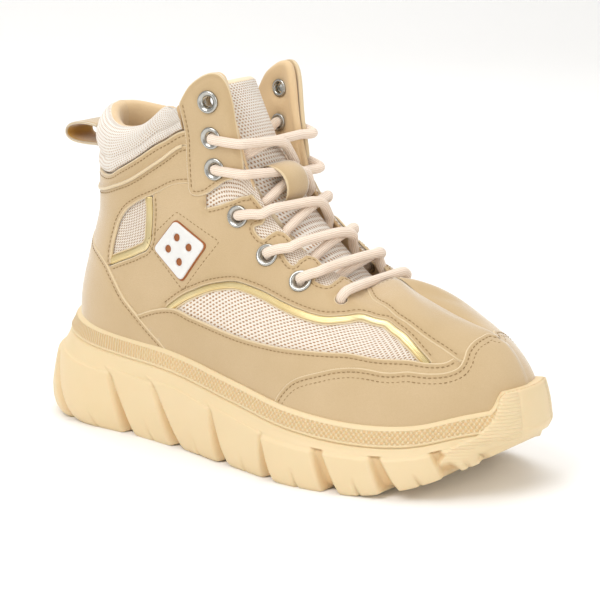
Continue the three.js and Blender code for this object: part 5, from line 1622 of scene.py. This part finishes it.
BUMPER_RISE = 8.0  # of the toe bumper above the band's upper edge
bumper_rise = BUMPER_RISE * (1 - ease(np.abs(around), 0.078, 0.112))
edge = edge_height(foot[:, 0]) + bumper_rise
spine_x = np.clip(foot[:, 0], 30, 255)
spine = np.stack([spine_x, spline(PLAN[:, 0], PLAN[:, 1], (spine_x - HEEL_X) / (TOE_X - HEEL_X))], 1)
for t in (1.0, 0.6, 0.25):
    level_xy = mix(foot[:, :2], spine, t)
    add_row(np.column_stack([level_xy, edge_height(level_xy[:, 0]) - CUP_DEPTH - 0.3]), 3.2)
ups = np.linspace(0, 0.5, 60)
climb = np.stack([on_last(around, up)[:, 2] for up in ups])
edge_up = np.array([np.interp(edge[j] - 0.4, climb[:, j], ups) for j in range(len(around))])
for t in (0.0, 0.4, 0.8, 1.0):
    add_row(place(around, edge_up * t, 0.3), 3.2)
inner = place(around, edge_up, 0.3)


def side_ring(level):
    """One ring of the sole's side"""
    reach = sole_reach(around, level)
    x = foot[:, 0] + away[:, 0] * reach
    floor, rim = sole_floor(x), edge_height(x) + bumper_rise
    band = edge_height(x) - FOXING_HEIGHT
    lug = np.minimum(spline(SOLE_SIDE[:, 0], SOLE_SIDE[:, 1], x / SOLE_LENGTH), band - 3.5)
    height = np.array([np.interp(level, (0, 1, 2, 3), h) for h in zip(floor, lug, band, rim)])
    limit = float(np.interp(level, (0.6, 2.0, 3.0), (0.2, 0.138, 0.09)))
    bumper = (1 - ease(np.abs(around), limit - 0.004, limit + 0.001)) * ease(level, 0.25, 0.6)
    depth, pride, sipe, ribbed = carved(np.full_like(along_side, level))
    room = np.clip((lug - floor) / 14, 0.1, 1)
    cut = (depth + sipe) * room * (1 - bumper)
    relief = pride * room * (1 - bumper) - cut + 1.7 * bumper
    rim_roll = 0.25 * ease(level, 2.82, 2.86) + 0.2 * (ease(level, 2.06, 2.1) - ease(level, 2.14, 2.2))
    rim_roll = rim_roll * (1 - bumper)
    line = 0.9 * math.exp(-((level - 2.0) / 0.045) ** 2) * (1 - bumper)
    parting = 0.45 * np.exp(-(((np.abs(around) - 0.048) / 0.0022) ** 2)) * bumper * ease(level, 0.8, 1.1)
    reach = reach + relief + rim_roll - line - parting - 0.4 * ease(level, 2.96, 3.0) ** 2
    points = np.column_stack([foot[:, 0] + away[:, 0] * reach, foot[:, 1] + away[:, 1] * reach, height])
    if level < 0.3:
        shoulder = np.maximum(0, 1 - np.abs(nearest_groove()) / 9.0) ** 2
        raised = np.maximum(2.4 * np.clip(depth * room / 6, 0, 1), 1.4 * shoulder * room)
        points[:, 2] += raised * (1 - level / 0.3) ** 1.5
    bumper_ribs = bumper * ease(np.abs(around), 0.05, 0.052) * ease(level, 0.7, 0.9)
    ribs = np.clip(bumper_ribs + 0.3 * ribbed * (level < 1), 0, 1)
    return points, cut, ribs, bumper


for t in (0.2, 0.75):
    outer = side_ring(3.0)[0]
    ring = mix(inner, outer, t)
    ring[:, 2] = outer[:, 2] + 0.25
    add_row(ring, 3.1)
side_levels = np.concatenate([
    (3.0, 2.98, 2.94, 2.9, 2.86, 2.84, 2.82), np.linspace(2.78, 2.24, 7),
    (2.2, 2.17, 2.14, 2.1, 2.08, 2.06, 2.03, 2.0, 1.97, 1.94, 1.9), np.linspace(1.8, 1.34, 5),
    np.linspace(1.28, 0.9, 14), np.linspace(0.86, 0.12, 17), (0.09, 0.065, 0.045, 0.025, 0.01, 0.0),
])
for level in side_levels:
    ring, cut, ribs, bumper = side_ring(level)
    add_row(ring, level, cut / 7, ribs)
    levels_of[-1] = np.where(bumper > 0.05, np.minimum(levels_of[-1], 1.9), levels_of[-1])
edge_ring = rows[-1]
for t in (0.03, 0.08, 0.15, 0.24, 0.35, 0.48, 0.62, 0.76, 0.88, 1.0):
    flat = mix(edge_ring[:, :2], spine, t)
    moved = along_side + 9.0 * t
    found = [groove_cut(moved, np.zeros_like(moved), runs[side])[0] for side in (1, -1)]
    channel = np.where(side_of > 0, *found) / 7
    channel = np.clip(channel, 0, 1) * (1 - 0.85 * ease(t, 0.55, 0.85))
    middle_channel = ease(t, 0.8, 0.9)
    shoulder = 1.4 * np.maximum(0, 1 - nearest_groove() / 9.0) ** 2 * (1 - ease(t, 0.0, 0.3))
    raised = np.maximum(np.maximum(2.4 * channel, 1.8 * middle_channel), shoulder)
    raised = raised * ease(np.abs(around), 0.06, 0.16)
    flat_z = sole_floor(flat[:, 0])
    add_row(np.column_stack([flat, flat_z + raised]), 0.0, np.clip(channel, 0, 1) * 0.6)

count_of, size_of = len(rows), len(around)
points = np.concatenate(rows)
index = np.arange(count_of * size_of).reshape(count_of, size_of)
mirror_of = (-np.arange(size_of)) % size_of
for row in (0, count_of - 1):
    index[row] = np.minimum(index[row], index[row][mirror_of])
faces = []
for k in range(count_of - 1):
    for i in range(size_of):
        j = (i + 1) % size_of
        corners = []
        for corner in (index[k, i], index[k + 1, i], index[k + 1, j], index[k, j]):
            if corner not in corners:
                corners.append(int(corner))
        if len(corners) > 2:
            faces.append(corners)
used = np.unique(index)
renumber = np.full(len(points), -1)
renumber[used] = np.arange(len(used))
faces = [tuple(int(renumber[c]) for c in face) for face in faces]

rubber, tree, shader = new_material(
    "cream_rubber", roughness=0.5, subsurface_weight=0.08, subsurface_scale=0.004
)
level_in, hollow_in, ribs_in = (
    node(tree, "ShaderNodeAttribute", attribute_name=name).outputs["Fac"]
    for name in ("level", "hollow", "ribs")
)
run_in, height_in = map_ways(tree)
TURN = 2 * math.pi
ribs_back = count(tree, "COSINE", count(tree, "MULTIPLY", run_in, TURN / 1.75))
dots = count(
    tree, "MULTIPLY", count(tree, "COSINE", count(tree, "MULTIPLY", run_in, TURN / 2.6)),
    count(tree, "COSINE", count(tree, "MULTIPLY", height_in, TURN / 3.0)),
)
toeward = ranged(tree, count(tree, "ABSOLUTE", run_in), 70.0, 150.0)
both = {"Factor": toeward, "A": ribs_back, "B": dots}
pattern = ranged(tree, node(tree, "ShaderNodeMix", both, data_type="FLOAT").outputs[0], -0.55, 0.75)
in_band = count(
    tree, "MULTIPLY", ranged(tree, level_in, 2.16, 2.22), ranged(tree, level_in, 2.86, 2.82)
)
rib_lines = count(tree, "MULTIPLY", count(tree, "SINE", count(tree, "MULTIPLY", height_in, TURN / 1.6)), 0.25)
pits = count(tree, "MULTIPLY", count(tree, "SUBTRACT", 1.0, pattern), in_band)
raised_by = count(
    tree, "SUBTRACT", count(tree, "MULTIPLY", count(tree, "ADD", rib_lines, 0.5), ribs_in), pits
)
clouds = use_effect(tree, cloud, Scale=30.0)
tone = blend_colours(tree, clouds["Cloud"], colour("dec69a"), colour("e4cfa8"))
# painted shade: the band's pits are coloured darker
tone = blend_colours(tree, count(tree, "MULTIPLY", pits, 0.6), tone, colour("d2a668"))
# painted shade: the grooves between the lugs and the channels below are coloured darker by their depth
tone = blend_colours(tree, count(tree, "MULTIPLY", hollow_in, 0.75), tone, colour("d6ab72"))
tree.links.new(tone, shader.inputs["Base Color"])
grain = count(tree, "ADD", raised_by, count(tree, "MULTIPLY", clouds["Grain"], 0.12))
emboss(tree, shader, grain, 0.0005)
sole = add_piece("sole_cup", points[used], faces, [rubber])
add_values(sole, "level", np.concatenate(levels_of)[used])
add_values(sole, "hollow", np.concatenate(hollow_of)[used])
add_values(sole, "ribs", np.concatenate(ribs_of)[used])
from_heel = np.where(side_of > 0, along_side - far_end, far_end - along_side)
add_map(sole, np.stack([np.tile(from_heel, count_of), points[:, 2]], 1)[used])
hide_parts("sole")

# Insole: a soft board covered with the lining's cloth, loose on the cup's floor
# how far in towards the middle line, and how high over the cup's floor
BOARD_SECTION = (
    (1.0, 0.1), (0.6, 0.1), (0.25, 0.1), (0.0, 0.1), (0.0, 3.6),
    (0.012, 4.4), (0.25, 4.2), (0.6, 4.0), (1.0, 4.1),
)
BOARD_PLAY = 0.8
inset = float(wall_in(0, 0)) - BOARD_PLAY
board_rows = []
for shrink, rise in BOARD_SECTION:
    flat_xy = mix(foot[::6, :2] + away[::6] * inset, spine[::6], shrink)
    board_rows.append(np.column_stack([flat_xy, edge_height(flat_xy[:, 0]) - CUP_DEPTH + rise]))
board_points = np.concatenate(board_rows)
faces = round_faces(len(board_rows), len(board_rows[0]), closed=False)
insole = add_piece("insole_board", board_points, faces, [lining_cloth])
add_map(insole, board_points[:, :2])
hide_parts("insole")

size = {"cad": [list(c) for c in cad_box], "visual": [list(c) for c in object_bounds()]}
